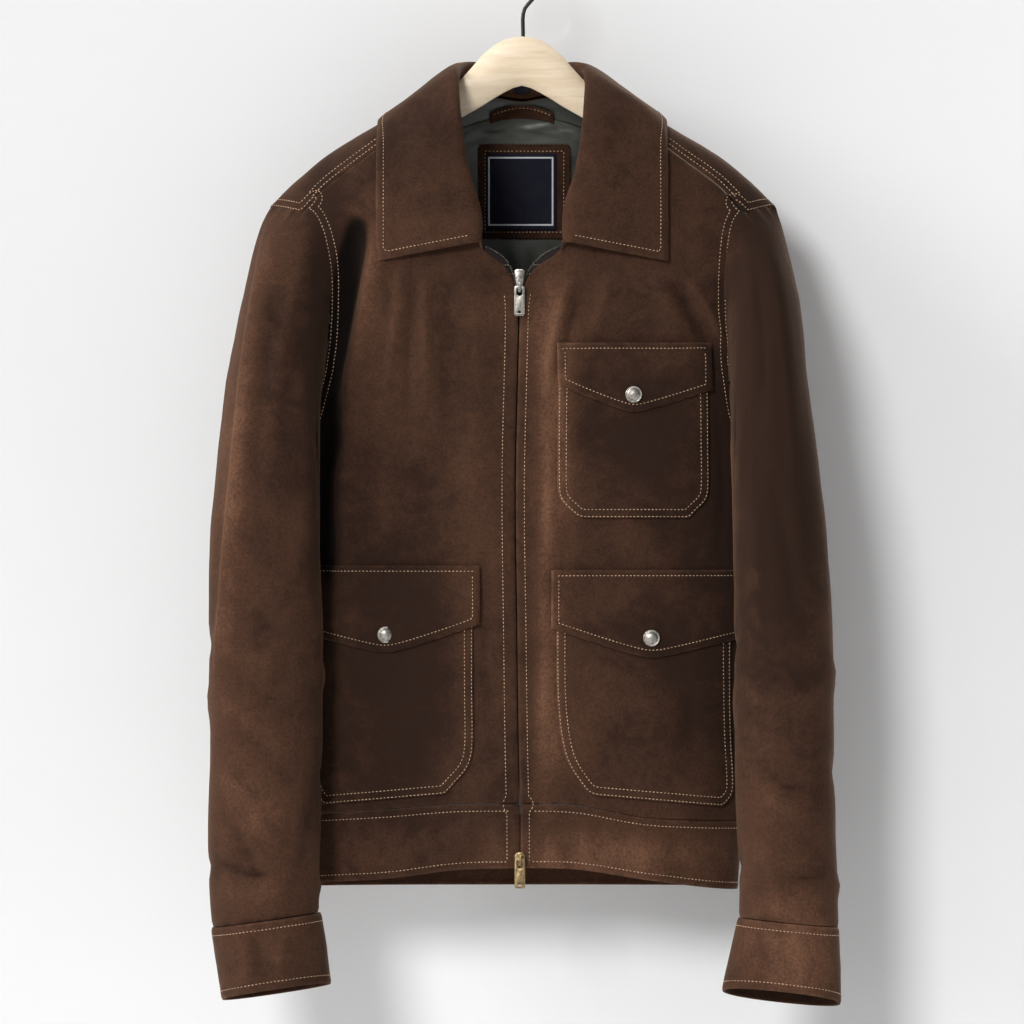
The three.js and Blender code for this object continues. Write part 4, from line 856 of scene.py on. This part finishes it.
@made_once
def thread_finish(name, tone):
    """Twisted thread, lighter where it is worn."""
    material, tree, shader = new_finish(name, **{"Specular IOR Level": 0.3, "Sheen Weight": 0.2})
    place = object_place(tree)
    worn = noise_in(tree, place, 110.0, 3.0)
    ply = wave_in(tree, place, 1400.0, "DIAGONAL")
    base = mix_in(tree, ramp_in(tree, worn, 0.3, 0.7), scaled(tone, 0.62), scaled(tone, 1.2))
    fed(tree, shader, base, ramp_in(tree, ply, 0.0, 1.0, 0.6, 0.75), ply, 0.25, 0.0001)
    return material


# Sewing


def rows_over(points, triangles, field, value):
    """The lines on a mesh where a field has one value, each a list of (place, share of each end point)."""
    over = field > value
    mixed = triangles[over[triangles].any(axis=1) & ~over[triangles].all(axis=1)]
    links = {}
    for triangle in mixed:
        ends = []
        for a, b in ((0, 1), (1, 2), (2, 0)):
            first, second = sorted((int(triangle[a]), int(triangle[b])))
            if over[first] != over[second]:
                ends.append((first, second))
        for one, other in (ends, ends[::-1]):
            links.setdefault(one, []).append(other)
    lines = []
    while links:
        begin = next((key for key, others in links.items() if len(others) == 1), next(iter(links)))
        line, here = [begin], begin
        while True:
            others = links.pop(here, [])
            onward = [key for key in others if key in links]
            if not onward:
                break
            here = onward[0]
            line.append(here)
        crossing = np.array(line)
        a, b = crossing[:, 0], crossing[:, 1]
        share = (value - field[a]) / (field[b] - field[a])
        lines.append(points[a] + (points[b] - points[a]) * share[:, None])
    return lines


def spaced_along(line, pitch):
    """Places at an even pitch along a line, with the way it runs there."""
    gaps = np.linalg.norm(np.diff(line, axis=0), axis=1)
    run = np.concatenate([[0], np.cumsum(gaps)])
    if run[-1] < 2 * pitch:
        return np.empty((0, 3)), np.empty((0, 3))
    at = np.arange(pitch / 2, run[-1], pitch)
    middle = np.column_stack([np.interp(at, run, line[:, k]) for k in range(3)])
    before = np.column_stack([np.interp(at - pitch / 2, run, line[:, k]) for k in range(3)])
    after = np.column_stack([np.interp(at + pitch / 2, run, line[:, k]) for k in range(3)])
    way = after - before
    return middle, way / np.maximum(np.linalg.norm(way, axis=1), 1e-9)[:, None]


def shown_triangles(mesh):
    mesh.calc_loop_triangles()
    corners = np.zeros(len(mesh.loop_triangles) * 3, np.int32)
    mesh.loop_triangles.foreach_get("vertices", corners)
    return corners.reshape(-1, 3)


# How far the middle of a stitch lies over the suede, in half thicknesses of the thread
THREAD_LIFT = 0.51


def stitch_at(bm, place, way, outward):
    """One stitch: a small rounded bar along the seam, sunk a little into the suede."""
    across = Vector(way).cross(Vector(outward)).normalized()
    up = across.cross(Vector(way)).normalized()
    thread = sizes().thread / 2
    turned = Matrix((Vector(way), across, up)).transposed().to_4x4()
    scale = Matrix.Diagonal((sizes().stitch / 2, thread, thread, 1))
    moved = Matrix.Translation(Vector(place) + up * thread * THREAD_LIFT)
    bmesh.ops.create_icosphere(bm, subdivisions=1, radius=1, matrix=moved @ turned @ scale)


def chosen_edges(made, choose):
    """The open edges of a cloth whose middles a test picks, given in millimetres."""
    points = vertex_values(made.data, "co", 3)
    pairs = open_edges(made.data)
    middles = (points[pairs[:, 0]] + points[pairs[:, 1]]) / 2 / MM
    return points, pairs[np.array([choose(x, y, z) for x, y, z in middles], bool)]


def close_to(node, reach=5.0):
    """A test for the places that lie within a reach of another cloth's open edges, in millimetres."""
    other = bpy.data.objects[f"{node}_cloth"]
    points = vertex_values(other.data, "co", 3)
    tree = tree_of(along_edges(points, open_edges(other.data)))
    return lambda x, y, z: tree.find(Vector((x, y, z)) * MM)[2] < reach * MM


# In millimetres: the round end that is left off a row, and how near two cloths of one row meet
ROW_END = 0.9
ROW_JOIN = 6.0
NOWHERE = (0, 0, 9)


def row_ends(chosen):
    """The last points of the chosen edges, apart from those where two cloths of one row meet."""
    last = []
    for points, pairs in chosen:
        met, times = np.unique(pairs, return_counts=True)
        last.extend(points[index] for index in met[times == 1])
    if len(chosen) == 1:
        return last
    nearest = [min((np.linalg.norm(a - b) for b in last if b is not a), default=1) for a in last]
    return [place for place, gap in zip(last, nearest) if gap > ROW_JOIN * MM]


def sewn(bm, nodes, choose, insets, keep=lambda *place: True):
    """Rows of stitches over cloths that are sewn as one, each row at its inset in millimetres from the
    chosen edges, without the round ends that it would have past their last points."""
    chosen = [chosen_edges(bpy.data.objects[f"{node}_cloth"], choose) for node in nodes]
    samples = [along_edges(points, pairs) for points, pairs in chosen if len(pairs)]
    if not samples:
        raise RuntimeError(f"no edge of {nodes} was chosen for its stitches")
    edge_samples = np.concatenate(samples)
    source = tree_of(edge_samples)
    ends = tree_of(row_ends(chosen) or [NOWHERE])
    for node in nodes:
        mesh = bpy.data.objects[f"{node}_cloth"].data
        points, normals = (vertex_values(mesh, name, 3) for name in ("co", "normal"))
        field = distances(points, edge_samples)
        tree = tree_of(points)
        triangles = shown_triangles(mesh)
        lines = [line for inset in insets for line in rows_over(points, triangles, field, inset * MM)]
        steps = [step for line in lines for step in zip(*spaced_along(line, sizes().stitch_pitch))]
        for place, way in steps:
            past_end = ends.find(source.find(place)[0])[2] < ROW_END * MM
            if not past_end and keep(*(place / MM)):
                stitch_at(bm, place, way, normals[tree.find(place)[1]])


def sewing(name, rows):
    """One object with the stitches of several rows, riding on the jacket."""
    bm = bmesh.new()
    for row in rows:
        sewn(bm, *row)
    made = object_from(bm, name)
    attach(dressed(made, thread_finish("tan_thread", colours().thread)), CLOTH_BODY)
    return made


# How far each row of stitches lies from its edge, in millimetres
INSETS = {
    "placket_right": [11.0],
    "placket_left": [7.6],
    "armhole": [2.6, 8.6],
    "shoulder": [3.4, 9.6],
    "band": [6.0],
    "cuff": [7.0],
    "sleeve": [2.4, 8.4],
    "collar": [7.0],
    "pocket": [1.6, 7.6],
    "flap": [6.6],
    "flap_top": [5.0],
    "patch": [4.4],
    "loop": [2.4],
}
# Places that tell the edges apart, in millimetres
PLACKET_HEIGHTS = [-820, -740, -590, -476, -330, -285]
PLACKET_PLACES = [-1.5, -2.0, -4.5, -6.0, -3.0, -2.0]
PLACKET_REACH = 2.5
PLACKET_TOP = -290
PLACKET_HALF = 11
ZIP_MIDDLE = -1.5
SHOULDER_FOOT = -215
SHOULDER_IN = 60
SLEEVE_MIDDLE = 225
LOOP_MIDDLE = -137.5
HEM_TOP = -795
CUFF_FOOT_TOP = -880
POCKET_UNDER_FLAP = 16
FLAP_SHOULDER = 9
FLAP_CREST = 4


def placket_middle(z):
    return np.interp(z, PLACKET_HEIGHTS, PLACKET_PLACES)


def placket_edge(x, y, z):
    return abs(x - placket_middle(z)) < PLACKET_REACH and z < PLACKET_TOP


def outside_placket(x, y, z):
    return abs(x - ZIP_MIDDLE) > PLACKET_HALF


def below(level):
    return lambda x, y, z: z < level


def above(level):
    return lambda x, y, z: z > level


def armhole_edge(side):
    """The edges of the panels where a sleeve is set in."""
    near = [close_to(f"{half}_sleeve_{side}", 8) for half in ("top", "under")]
    return lambda x, y, z: any(test(x, y, z) for test in near)


def shoulder_edge(side, sign):
    """The edge of the back along one shoulder seam."""
    near_front = close_to(f"front_{side}", 6)
    return lambda x, y, z: near_front(x, y, z) and z > SHOULDER_FOOT and sign * x > SHOULDER_IN


def back_seam(side):
    """The edge of a top sleeve along its back seam."""
    near_under = close_to(f"under_sleeve_{side}")
    return lambda x, y, z: near_under(x, y, z) and abs(x) > SLEEVE_MIDDLE


def collar_fall_edge(x, y, z):
    """The collar's outer edge: round the back, down the sides and along the bottom."""
    return (z < -135 and (abs(x) > 95 or y > 10)) or (z < -240 and abs(x) > 44)


TUCK_REACH = 20
TUCK_MEETING = 9
TUCK_INWARD = 3.0
TUCK_UNDER = 1.9


def edge_frames(made):
    """The open edge of a cloth in millimetres: its points, its normals there and the way inward."""
    bm = bmesh.new()
    bm.from_mesh(made.data)
    bm.normal_update()
    frames = []
    for vert in bm.verts:
        if vert.is_boundary:
            inner = [e.other_vert(vert).co - vert.co for e in vert.link_edges if not e.is_boundary]
            inward = sum(inner, Vector()).normalized() if inner else Vector()
            frames.append((vert.co / MM, vert.normal, inward))
    bm.free()
    return [np.array([tuple(part) for part in column]) for column in zip(*frames)]


def tucked(made, panels):
    """Draws a sleeve's edge in under the edges of the panels that it is sewn to."""
    edges = [edge_frames(bpy.data.objects[f"{node}_cloth"]) for node in panels]
    places, normals, inwards = (np.concatenate(columns) for columns in zip(*edges))
    points = vertex_values(made.data, "co", 3) / MM
    own = points[np.unique(open_edges(made.data))]
    near_own = distances(places, own) < TUCK_MEETING
    places, normals, inwards = places[near_own], normals[near_own], inwards[near_own]
    tree = tree_of(places)
    own_edge = tree_of(own)
    shift = np.zeros(points.shape)
    for at, point in enumerate(points):
        place, _, from_edge = own_edge.find(point)
        _, meeting, gap = tree.find(place)
        if from_edge < TUCK_REACH and gap < TUCK_MEETING:
            goal = places[meeting] + inwards[meeting] * TUCK_INWARD - normals[meeting] * TUCK_UNDER
            shift[at] = (goal - np.array(place)) * (1 - from_edge / TUCK_REACH) ** 2
    set_points(made.data, (points + shift) * MM)
    return made


class JACKET_OT_body(bpy.types.Operator):
    """Fronts, back and waistbands of suede"""

    bl_idname = "jacket.body"
    bl_label = "Body"

    def execute(self, context):
        outside, inside = suede(), satin()
        for side in ("right", "left"):
            cloth(f"front_{side}", sizes().suede, [outside, inside], BODY_CREASES, SUEDE_BUMPS, FRONT)
            cloth(f"waistband_{side}", sizes().doubled, [outside], BODY_CREASES, SUEDE_BUMPS)
        cloth("back", sizes().suede, [outside, inside], BODY_CREASES, SUEDE_BUMPS)
        cloth("waistband_back", sizes().doubled, [outside], BODY_CREASES, SUEDE_BUMPS)
        return {"FINISHED"}


class JACKET_OT_sleeves(bpy.types.Operator):
    """Two-piece sleeves and their cuffs"""

    bl_idname = "jacket.sleeves"
    bl_label = "Sleeves"

    def execute(self, context):
        for side in ("right", "left"):
            for node in (f"top_sleeve_{side}", f"under_sleeve_{side}"):
                made = cloth(node, sizes().suede, [suede(), satin()], SLEEVE_CREASES, SUEDE_BUMPS)
                tucked(made, [f"front_{side}", "back"])
            cloth(f"cuff_{side}", sizes().doubled, [suede(), shaded_suede()], SLEEVE_CREASES, BAND_BUMPS)
        return {"FINISHED"}


class JACKET_OT_collar(bpy.types.Operator):
    """The folded collar, stand and fall in one"""

    bl_idname = "jacket.collar"
    bl_label = "Collar"

    def execute(self, context):
        cloth("collar", sizes().doubled, [suede()], COLLAR_CREASES, BAND_BUMPS, levels=2)
        return {"FINISHED"}


class JACKET_OT_pockets(bpy.types.Operator):
    """Patch pockets and their pointed flaps"""

    bl_idname = "jacket.pockets"
    bl_label = "Pockets"

    def execute(self, context):
        for name in ("chest", "right", "left"):
            cloth(f"pocket_{name}", sizes().suede, [suede()], BODY_CREASES, SUEDE_BUMPS, FRONT)
            cloth(f"flap_{name}", sizes().suede, [suede()], BODY_CREASES, SUEDE_BUMPS, FRONT)
        return {"FINISHED"}


PINK_DEPTH = 2.2
PINK_EVERY = 3


def edge_loops(bm):
    """The points of the open edges, loop by loop, in the order in which they follow each other."""
    loops, seen = [], set()
    for start in [v for v in bm.verts if v.is_boundary]:
        here, loop = start, []
        while here is not None and here not in seen:
            seen.add(here)
            loop.append(here)
            onward = [e.other_vert(here) for e in here.link_edges if e.is_boundary]
            here = next((v for v in onward if v not in seen), None)
        loops.append(loop)
    return loops


def pinked(made):
    """Cuts a cloth's open edges in small zigzags."""
    bm = bmesh.new()
    bm.from_mesh(made.data)
    for loop in edge_loops(bm):
        for here in loop[PINK_EVERY - 1 :: PINK_EVERY]:
            inner = [e.other_vert(here) for e in here.link_edges if not e.is_boundary]
            if inner:
                here.co += (inner[0].co - here.co).normalized() * PINK_DEPTH * MM
    bm.to_mesh(made.data)
    bm.free()


LOOP_HALF = 28.7
LOOP_RISE = 6.0
LOOP_OUT = 2.5
LOOP_NARROW = 0.72


def arched(made):
    """Bends the hanging loop up and out in its middle, and draws its ends narrower."""
    points = vertex_values(made.data, "co", 3) / MM
    middle = 1 - (points[:, 0] / LOOP_HALF) ** 2
    points[:, 2] = LOOP_MIDDLE + (points[:, 2] - LOOP_MIDDLE) * (LOOP_NARROW + (1 - LOOP_NARROW) * middle)
    points[:, 2] += LOOP_RISE * middle - LOOP_RISE / 2
    points[:, 1] -= LOOP_OUT * np.sqrt(np.clip(middle, 0, 1))
    set_points(made.data, points * MM)
    return made


class JACKET_OT_neck(bpy.types.Operator):
    """Satin back lining, pinked patch, label, hanging loop and size tag"""

    bl_idname = "jacket.neck"
    bl_label = "Neck"

    def execute(self, context):
        cloth("lining_back", sizes().lining, [satin()], SATIN_WRINKLES, SATIN_BUMPS, FRONT, 3, 0)
        pinked(cloth("neck_patch", sizes().lining, [shaded_suede()], [], [], FRONT, 4, 0))
        cloth("neck_label", sizes().lining / 2, [label_finish()], [], [], FRONT, 3, 0)
        arched(cloth("hang_loop", sizes().suede, [shaded_suede()], [], [], FRONT, 3, 1.0))
        tag = woven("navy_tag", colours().label, 2.0)
        cloth("size_tag", sizes().lining / 2, [tag], [], [], FRONT, 3, 0)
        return {"FINISHED"}


# A tooth's size across, along and out of the tape, its bevel and its reach over the tape's edge
TOOTH_SIZE = (1.9, 1.1, 1.7)
TOOTH_BEVEL = 0.25
TOOTH_REACH = 0.6
TEETH_FOOT = -0.780
DIM_TEETH = (0.17, 0.145, 0.12)


def tooth_line(node, inner_side):
    """The inner edge of a zip tape from its foot up, in metres."""
    made = bpy.data.objects[f"{node}_cloth"]
    points = vertex_values(made.data, "co", 3)
    pairs = open_edges(made.data)
    levels = {}
    for index in set(pairs.ravel()):
        x, y, z = points[index]
        level = round(z / MM)
        if level not in levels or inner_side * x < inner_side * levels[level][0]:
            levels[level] = points[index]
    line = np.array([levels[level] for level in sorted(levels)])
    return line[line[:, 2] > TEETH_FOOT]


def add_teeth(bm, node, inner_side, shift):
    """The teeth on one tape, moved along it by a share of their pitch to mesh with the other's."""
    places, ways = spaced_along(tooth_line(node, inner_side), sizes().tooth_pitch)
    for place, way in zip(places, ways):
        across = Vector((inner_side, 0, 0))
        across = (across - Vector(way) * across.dot(Vector(way))).normalized()
        out = across.cross(Vector(way)).normalized()
        turned = Matrix((across, Vector(way), out)).transposed().to_4x4()
        middle = Vector(place) + Vector(way) * shift * sizes().tooth_pitch - across * TOOTH_REACH * MM
        scale = Matrix.Diagonal((*[length * MM for length in TOOTH_SIZE], 1))
        bmesh.ops.create_cube(bm, size=1, matrix=Matrix.Translation(middle) @ turned @ scale)


def finished(made, material, body=CLOTH_BODY):
    """Gives a hard piece its material and the body that it rides on."""
    dressed(made, material)
    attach(made, body)


class JACKET_OT_zip(bpy.types.Operator):
    """Zip tapes, meshed teeth, sliders and pulls"""

    bl_idname = "jacket.zip"
    bl_label = "Zip"

    def execute(self, context):
        tape = woven("zip_tape", (0.012, 0.008, 0.007), 2.2)
        for side in ("right", "left"):
            cloth(f"zip_tape_{side}", sizes().lining, [tape], [], [], FRONT, 2, 0)
        bm = bmesh.new()
        add_teeth(bm, "zip_tape_right", -1, 0.0)
        add_teeth(bm, "zip_tape_left", 1, 0.5)
        rounding = {"segments": 1, "affect": "EDGES", "profile": 0.5, "material": -1}
        bmesh.ops.bevel(bm, geom=bm.edges[:], offset=TOOTH_BEVEL * MM, **rounding)
        teeth = object_from(bm, "zip_teeth")
        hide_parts("zip_chain")
        finished(teeth, metal("dim_teeth", DIM_TEETH))
        silver = metal("antique_silver", colours().silver)
        brass = metal("antique_brass", colours().brass)
        finished(softened("slider_top", METAL_EDGE), silver)
        finished(softened("pull_top", METAL_EDGE), silver, "upper_pull")
        finished(softened("slider_bottom", METAL_EDGE), brass)
        finished(softened("pull_bottom", METAL_EDGE), brass, "lower_pull")
        return {"FINISHED"}


METAL_EDGE, WOOD_EDGE, WIRE_EDGE = 0.0002, 0.0012, 0.0004
SHARP_ANGLE = radians(35)


def softened(node, width, segments=2):
    """A merged copy of a hard CAD part with its sharp edges rounded, which stands for it."""
    bm = bmesh.new()
    bm.from_mesh(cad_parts[node].data)
    bmesh.ops.remove_doubles(bm, verts=bm.verts, dist=MERGE_DISTANCE)
    bmesh.ops.join_triangles(bm, faces=bm.faces, angle_face_threshold=radians(2), angle_shape_threshold=pi)
    made = object_from(bm, f"{node}_metal")
    bevel = made.modifiers.new("rounded", "BEVEL")
    bevel.width = width
    bevel.segments = segments
    bevel.limit_method = "ANGLE"
    bevel.angle_limit = SHARP_ANGLE
    bevel.harden_normals = True
    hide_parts(node)
    return made


# A snap cap from its rim to its crown: distance from its axis and height over the flap, in millimetres
SNAP_PROFILE = [
    (7.5, 0.0),
    (7.5, 1.1),
    (7.1, 1.7),
    (6.5, 1.8),
    (6.1, 1.5),
    (5.6, 1.7),
    (4.2, 2.7),
    (2.4, 3.3),
    (0.0, 3.5),
]
SNAP_TURNS = 40


def snap_cap():
    """A snap cap with its foot at the origin, which looks to the front."""
    bm = bmesh.new()
    verts = [bm.verts.new(Vector((radius, -height, 0)) * MM) for radius, height in SNAP_PROFILE]
    edges = [bm.edges.new(pair) for pair in zip(verts[:-1], verts[1:])]
    turn = {"cent": (0, 0, 0), "axis": (0, 1, 0), "angle": 2 * pi, "steps": SNAP_TURNS, "use_merge": True}
    bmesh.ops.spin(bm, geom=verts + edges, **turn)
    bmesh.ops.remove_doubles(bm, verts=bm.verts, dist=MERGE_DISTANCE)
    bmesh.ops.holes_fill(bm, edges=bm.edges, sides=0)
    bmesh.ops.recalc_face_normals(bm, faces=bm.faces)
    return bm


class JACKET_OT_snaps(bpy.types.Operator):
    """Domed snap caps on the flaps"""

    bl_idname = "jacket.snaps"
    bl_label = "Snaps"

    def execute(self, context):
        for name in ("chest", "right", "left"):
            node = f"snap_{name}"
            low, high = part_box(node)
            middle = (low + high) / 2
            bm = snap_cap()
            bmesh.ops.translate(bm, verts=bm.verts, vec=(middle.x, high.y, middle.z))
            made = object_from(bm, f"{node}_cap")
            smooth = made.modifiers.new("smooth", "SUBSURF")
            smooth.levels = smooth.render_levels = 1
            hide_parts(node)
            finished(made, metal("antique_silver", colours().silver))
        return {"FINISHED"}


class JACKET_OT_sewing(bpy.types.Operator):
    """Rows of tan stitches along the seams, edges, pockets and flaps"""

    bl_idname = "jacket.sewing"
    bl_label = "Sewing"

    def execute(self, context):
        rows = []
        for side, sign in (("right", -1), ("left", 1)):
            front, band = f"front_{side}", f"waistband_{side}"
            rows.append(((front, band), placket_edge, INSETS[f"placket_{side}"]))
            rows.append(((front, "back"), armhole_edge(side), INSETS["armhole"]))
            rows.append((("back",), shoulder_edge(side, sign), INSETS["shoulder"]))
            rows.append(((band,), close_to(front), INSETS["band"], outside_placket))
            rows.append(((band,), below(HEM_TOP), INSETS["band"], outside_placket))
        rows.append((("waistband_back",), close_to("back"), INSETS["band"]))
        rows.append((("waistband_back",), below(HEM_TOP), INSETS["band"]))
        sewing("stitches_body", rows)

        rows = []
        for side in ("right", "left"):
            for test in (close_to(f"top_sleeve_{side}"), below(CUFF_FOOT_TOP)):
                rows.append(((f"cuff_{side}",), test, INSETS["cuff"]))
            rows.append(((f"top_sleeve_{side}",), back_seam(side), INSETS["sleeve"]))
        sewing("stitches_sleeves", rows)
        sewing("stitches_collar", [(("collar",), collar_fall_edge, INSETS["collar"])])

        rows = []
        for name in ("chest", "right", "left"):
            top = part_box(f"flap_{name}")[1].z / MM
            rows.append(((f"pocket_{name}",), below(top - POCKET_UNDER_FLAP), INSETS["pocket"]))
            rows.append(((f"flap_{name}",), below(top - FLAP_SHOULDER), INSETS["flap"]))
            rows.append(((f"flap_{name}",), above(top - FLAP_CREST), INSETS["flap_top"]))
        sewing("stitches_pockets", rows)
        patch = (("neck_patch",), below(0), INSETS["patch"])
        loop = (("hang_loop",), above(LOOP_MIDDLE), INSETS["loop"])
        sewing("stitches_neck", [patch, loop])
        return {"FINISHED"}


class JACKET_OT_hanger(bpy.types.Operator):
    """The wooden hanger and its wire hook"""

    bl_idname = "jacket.hanger"
    bl_label = "Hanger"

    def execute(self, context):
        finished(softened("hanger", WOOD_EDGE, 3), wood())
        # the frame brings a material of its own for the wire, and the hook keeps it
        finished(softened("hook", WIRE_EDGE), bpy.data.materials["black_wire"])
        return {"FINISHED"}


# Where the camera, the wall and the lights stand, in metres
AIM = Vector((-0.0087, 0.0, -0.487))
CAMERA_BACK = 9.0
SENSOR = 0.036
SEEN_WIDTH = 0.891
FRONT_DEPTH = 0.06
WALL_Y = 0.085
FLOOR_Z = -1.35
STAGE_HALF = 6
# Each sun's place, spread and strength
SUNS = {
    "key": ((-2.5, -5.5, 2.1), radians(17), 1.9),
    "side": ((-6.0, -1.6, 2.4), radians(25), 2.1),
    "fill": ((-0.5, -6.0, -0.6), radians(70), 0.2),
    "rear": ((2.0, 6.0, 2.0), radians(40), 1.5),
}
SKY = (0.98, 0.99, 1.0, 1.0)
SKY_STRENGTH = 0.17


class JACKET_OT_stage(bpy.types.Operator):
    """Camera, soft lights, pale wall and floor"""

    bl_idname = "jacket.stage"
    bl_label = "Stage"

    def execute(self, context):
        camera = bpy.data.cameras.new("camera")
        camera.sensor_width = SENSOR / MM
        camera.lens = SENSOR / MM * (CAMERA_BACK - FRONT_DEPTH) / SEEN_WIDTH
        camera.clip_end = 100
        eye = new_object("camera", camera)
        eye.location = AIM - Vector((0, CAMERA_BACK, 0))
        eye.rotation_euler = (pi / 2, 0, 0)
        context.scene.camera = eye
        for name, (place, spread, power) in SUNS.items():
            light = bpy.data.lights.new(name, "SUN")
            light.angle = spread
            light.energy = power
            lamp = new_object(name, light)
            lamp.location = place
            lamp.rotation_euler = (AIM - Vector(place)).to_track_quat("-Z", "Y").to_euler()
        world = bpy.data.worlds.new("studio")
        world.use_nodes = True
        background = world.node_tree.nodes["Background"]
        background.inputs["Color"].default_value = SKY
        background.inputs["Strength"].default_value = SKY_STRENGTH
        context.scene.world = world
        for name, corner, spin in (("wall", (0, WALL_Y, 0), pi / 2), ("floor", (0, 0, FLOOR_Z), 0.0)):
            bm = bmesh.new()
            bmesh.ops.create_grid(bm, x_segments=1, y_segments=1, size=STAGE_HALF)
            bmesh.ops.rotate(bm, verts=bm.verts, matrix=Matrix.Rotation(spin, 3, "X"))
            bmesh.ops.translate(bm, verts=bm.verts, vec=corner)
            made = object_from(bm, name)
            dressed(made, plaster(name))
            made.visible_shadow = False
        context.scene.view_settings.view_transform = "Standard"
        return {"FINISHED"}


def plaster(name):
    """Pale painted plaster. The wall lets the camera look through its back."""
    material, tree, shader = new_finish(f"plaster_{name}", **{"Specular IOR Level": 0.2})
    clouds = noise_in(tree, object_place(tree), 3.0, 3.0)
    tone = colours().wall
    base = mix_in(tree, ramp_in(tree, clouds, 0.3, 0.7), scaled(tone, 0.98), rgba(tone))
    tree.links.new(base, shader.inputs["Base Color"])
    shader.inputs["Roughness"].default_value = 0.9
    behind = node_in(tree, "ShaderNodeNewGeometry").outputs["Backfacing"]
    clear = node_in(tree, "ShaderNodeBsdfTransparent")
    mixed = node_in(tree, "ShaderNodeMixShader", {"Fac": behind})
    tree.links.new(shader.outputs["BSDF"], mixed.inputs[1])
    tree.links.new(clear.outputs["BSDF"], mixed.inputs[2])
    output = next(node for node in tree.nodes if node.type == "OUTPUT_MATERIAL")
    tree.links.new(mixed.outputs["Shader"], output.inputs["Surface"])
    return material


OPERATORS = (
    JACKET_OT_stage,
    JACKET_OT_body,
    JACKET_OT_sleeves,
    JACKET_OT_collar,
    JACKET_OT_pockets,
    JACKET_OT_neck,
    JACKET_OT_zip,
    JACKET_OT_snaps,
    JACKET_OT_sewing,
    JACKET_OT_hanger,
)


class JACKET_PT_panel(bpy.types.Panel):
    """The jacket's sizes, colours and pieces"""

    bl_idname = "JACKET_PT_panel"
    bl_label = "Jacket"
    bl_space_type = "VIEW_3D"
    bl_region_type = "UI"
    bl_category = "Jacket"

    def draw(self, context):
        for group in (context.scene.jacket_sizes, context.scene.jacket_colours):
            for name in group.__annotations__:
                self.layout.prop(group, name)
        for operator in OPERATORS:
            self.layout.operator(operator.bl_idname)


CLASSES = (JacketSizes, JacketColours, *OPERATORS, JACKET_PT_panel)


def register():
    for made in CLASSES:
        bpy.utils.register_class(made)
    bpy.types.Scene.jacket_sizes = PointerProperty(type=JacketSizes)
    bpy.types.Scene.jacket_colours = PointerProperty(type=JacketColours)


def unregister():
    del bpy.types.Scene.jacket_sizes
    del bpy.types.Scene.jacket_colours
    for made in reversed(CLASSES):
        bpy.utils.unregister_class(made)


def main():
    register()
    for operator in OPERATORS:
        group, name = operator.bl_idname.split(".")
        getattr(getattr(bpy.ops, group), name)()


if __name__ == "__main__":
    main()
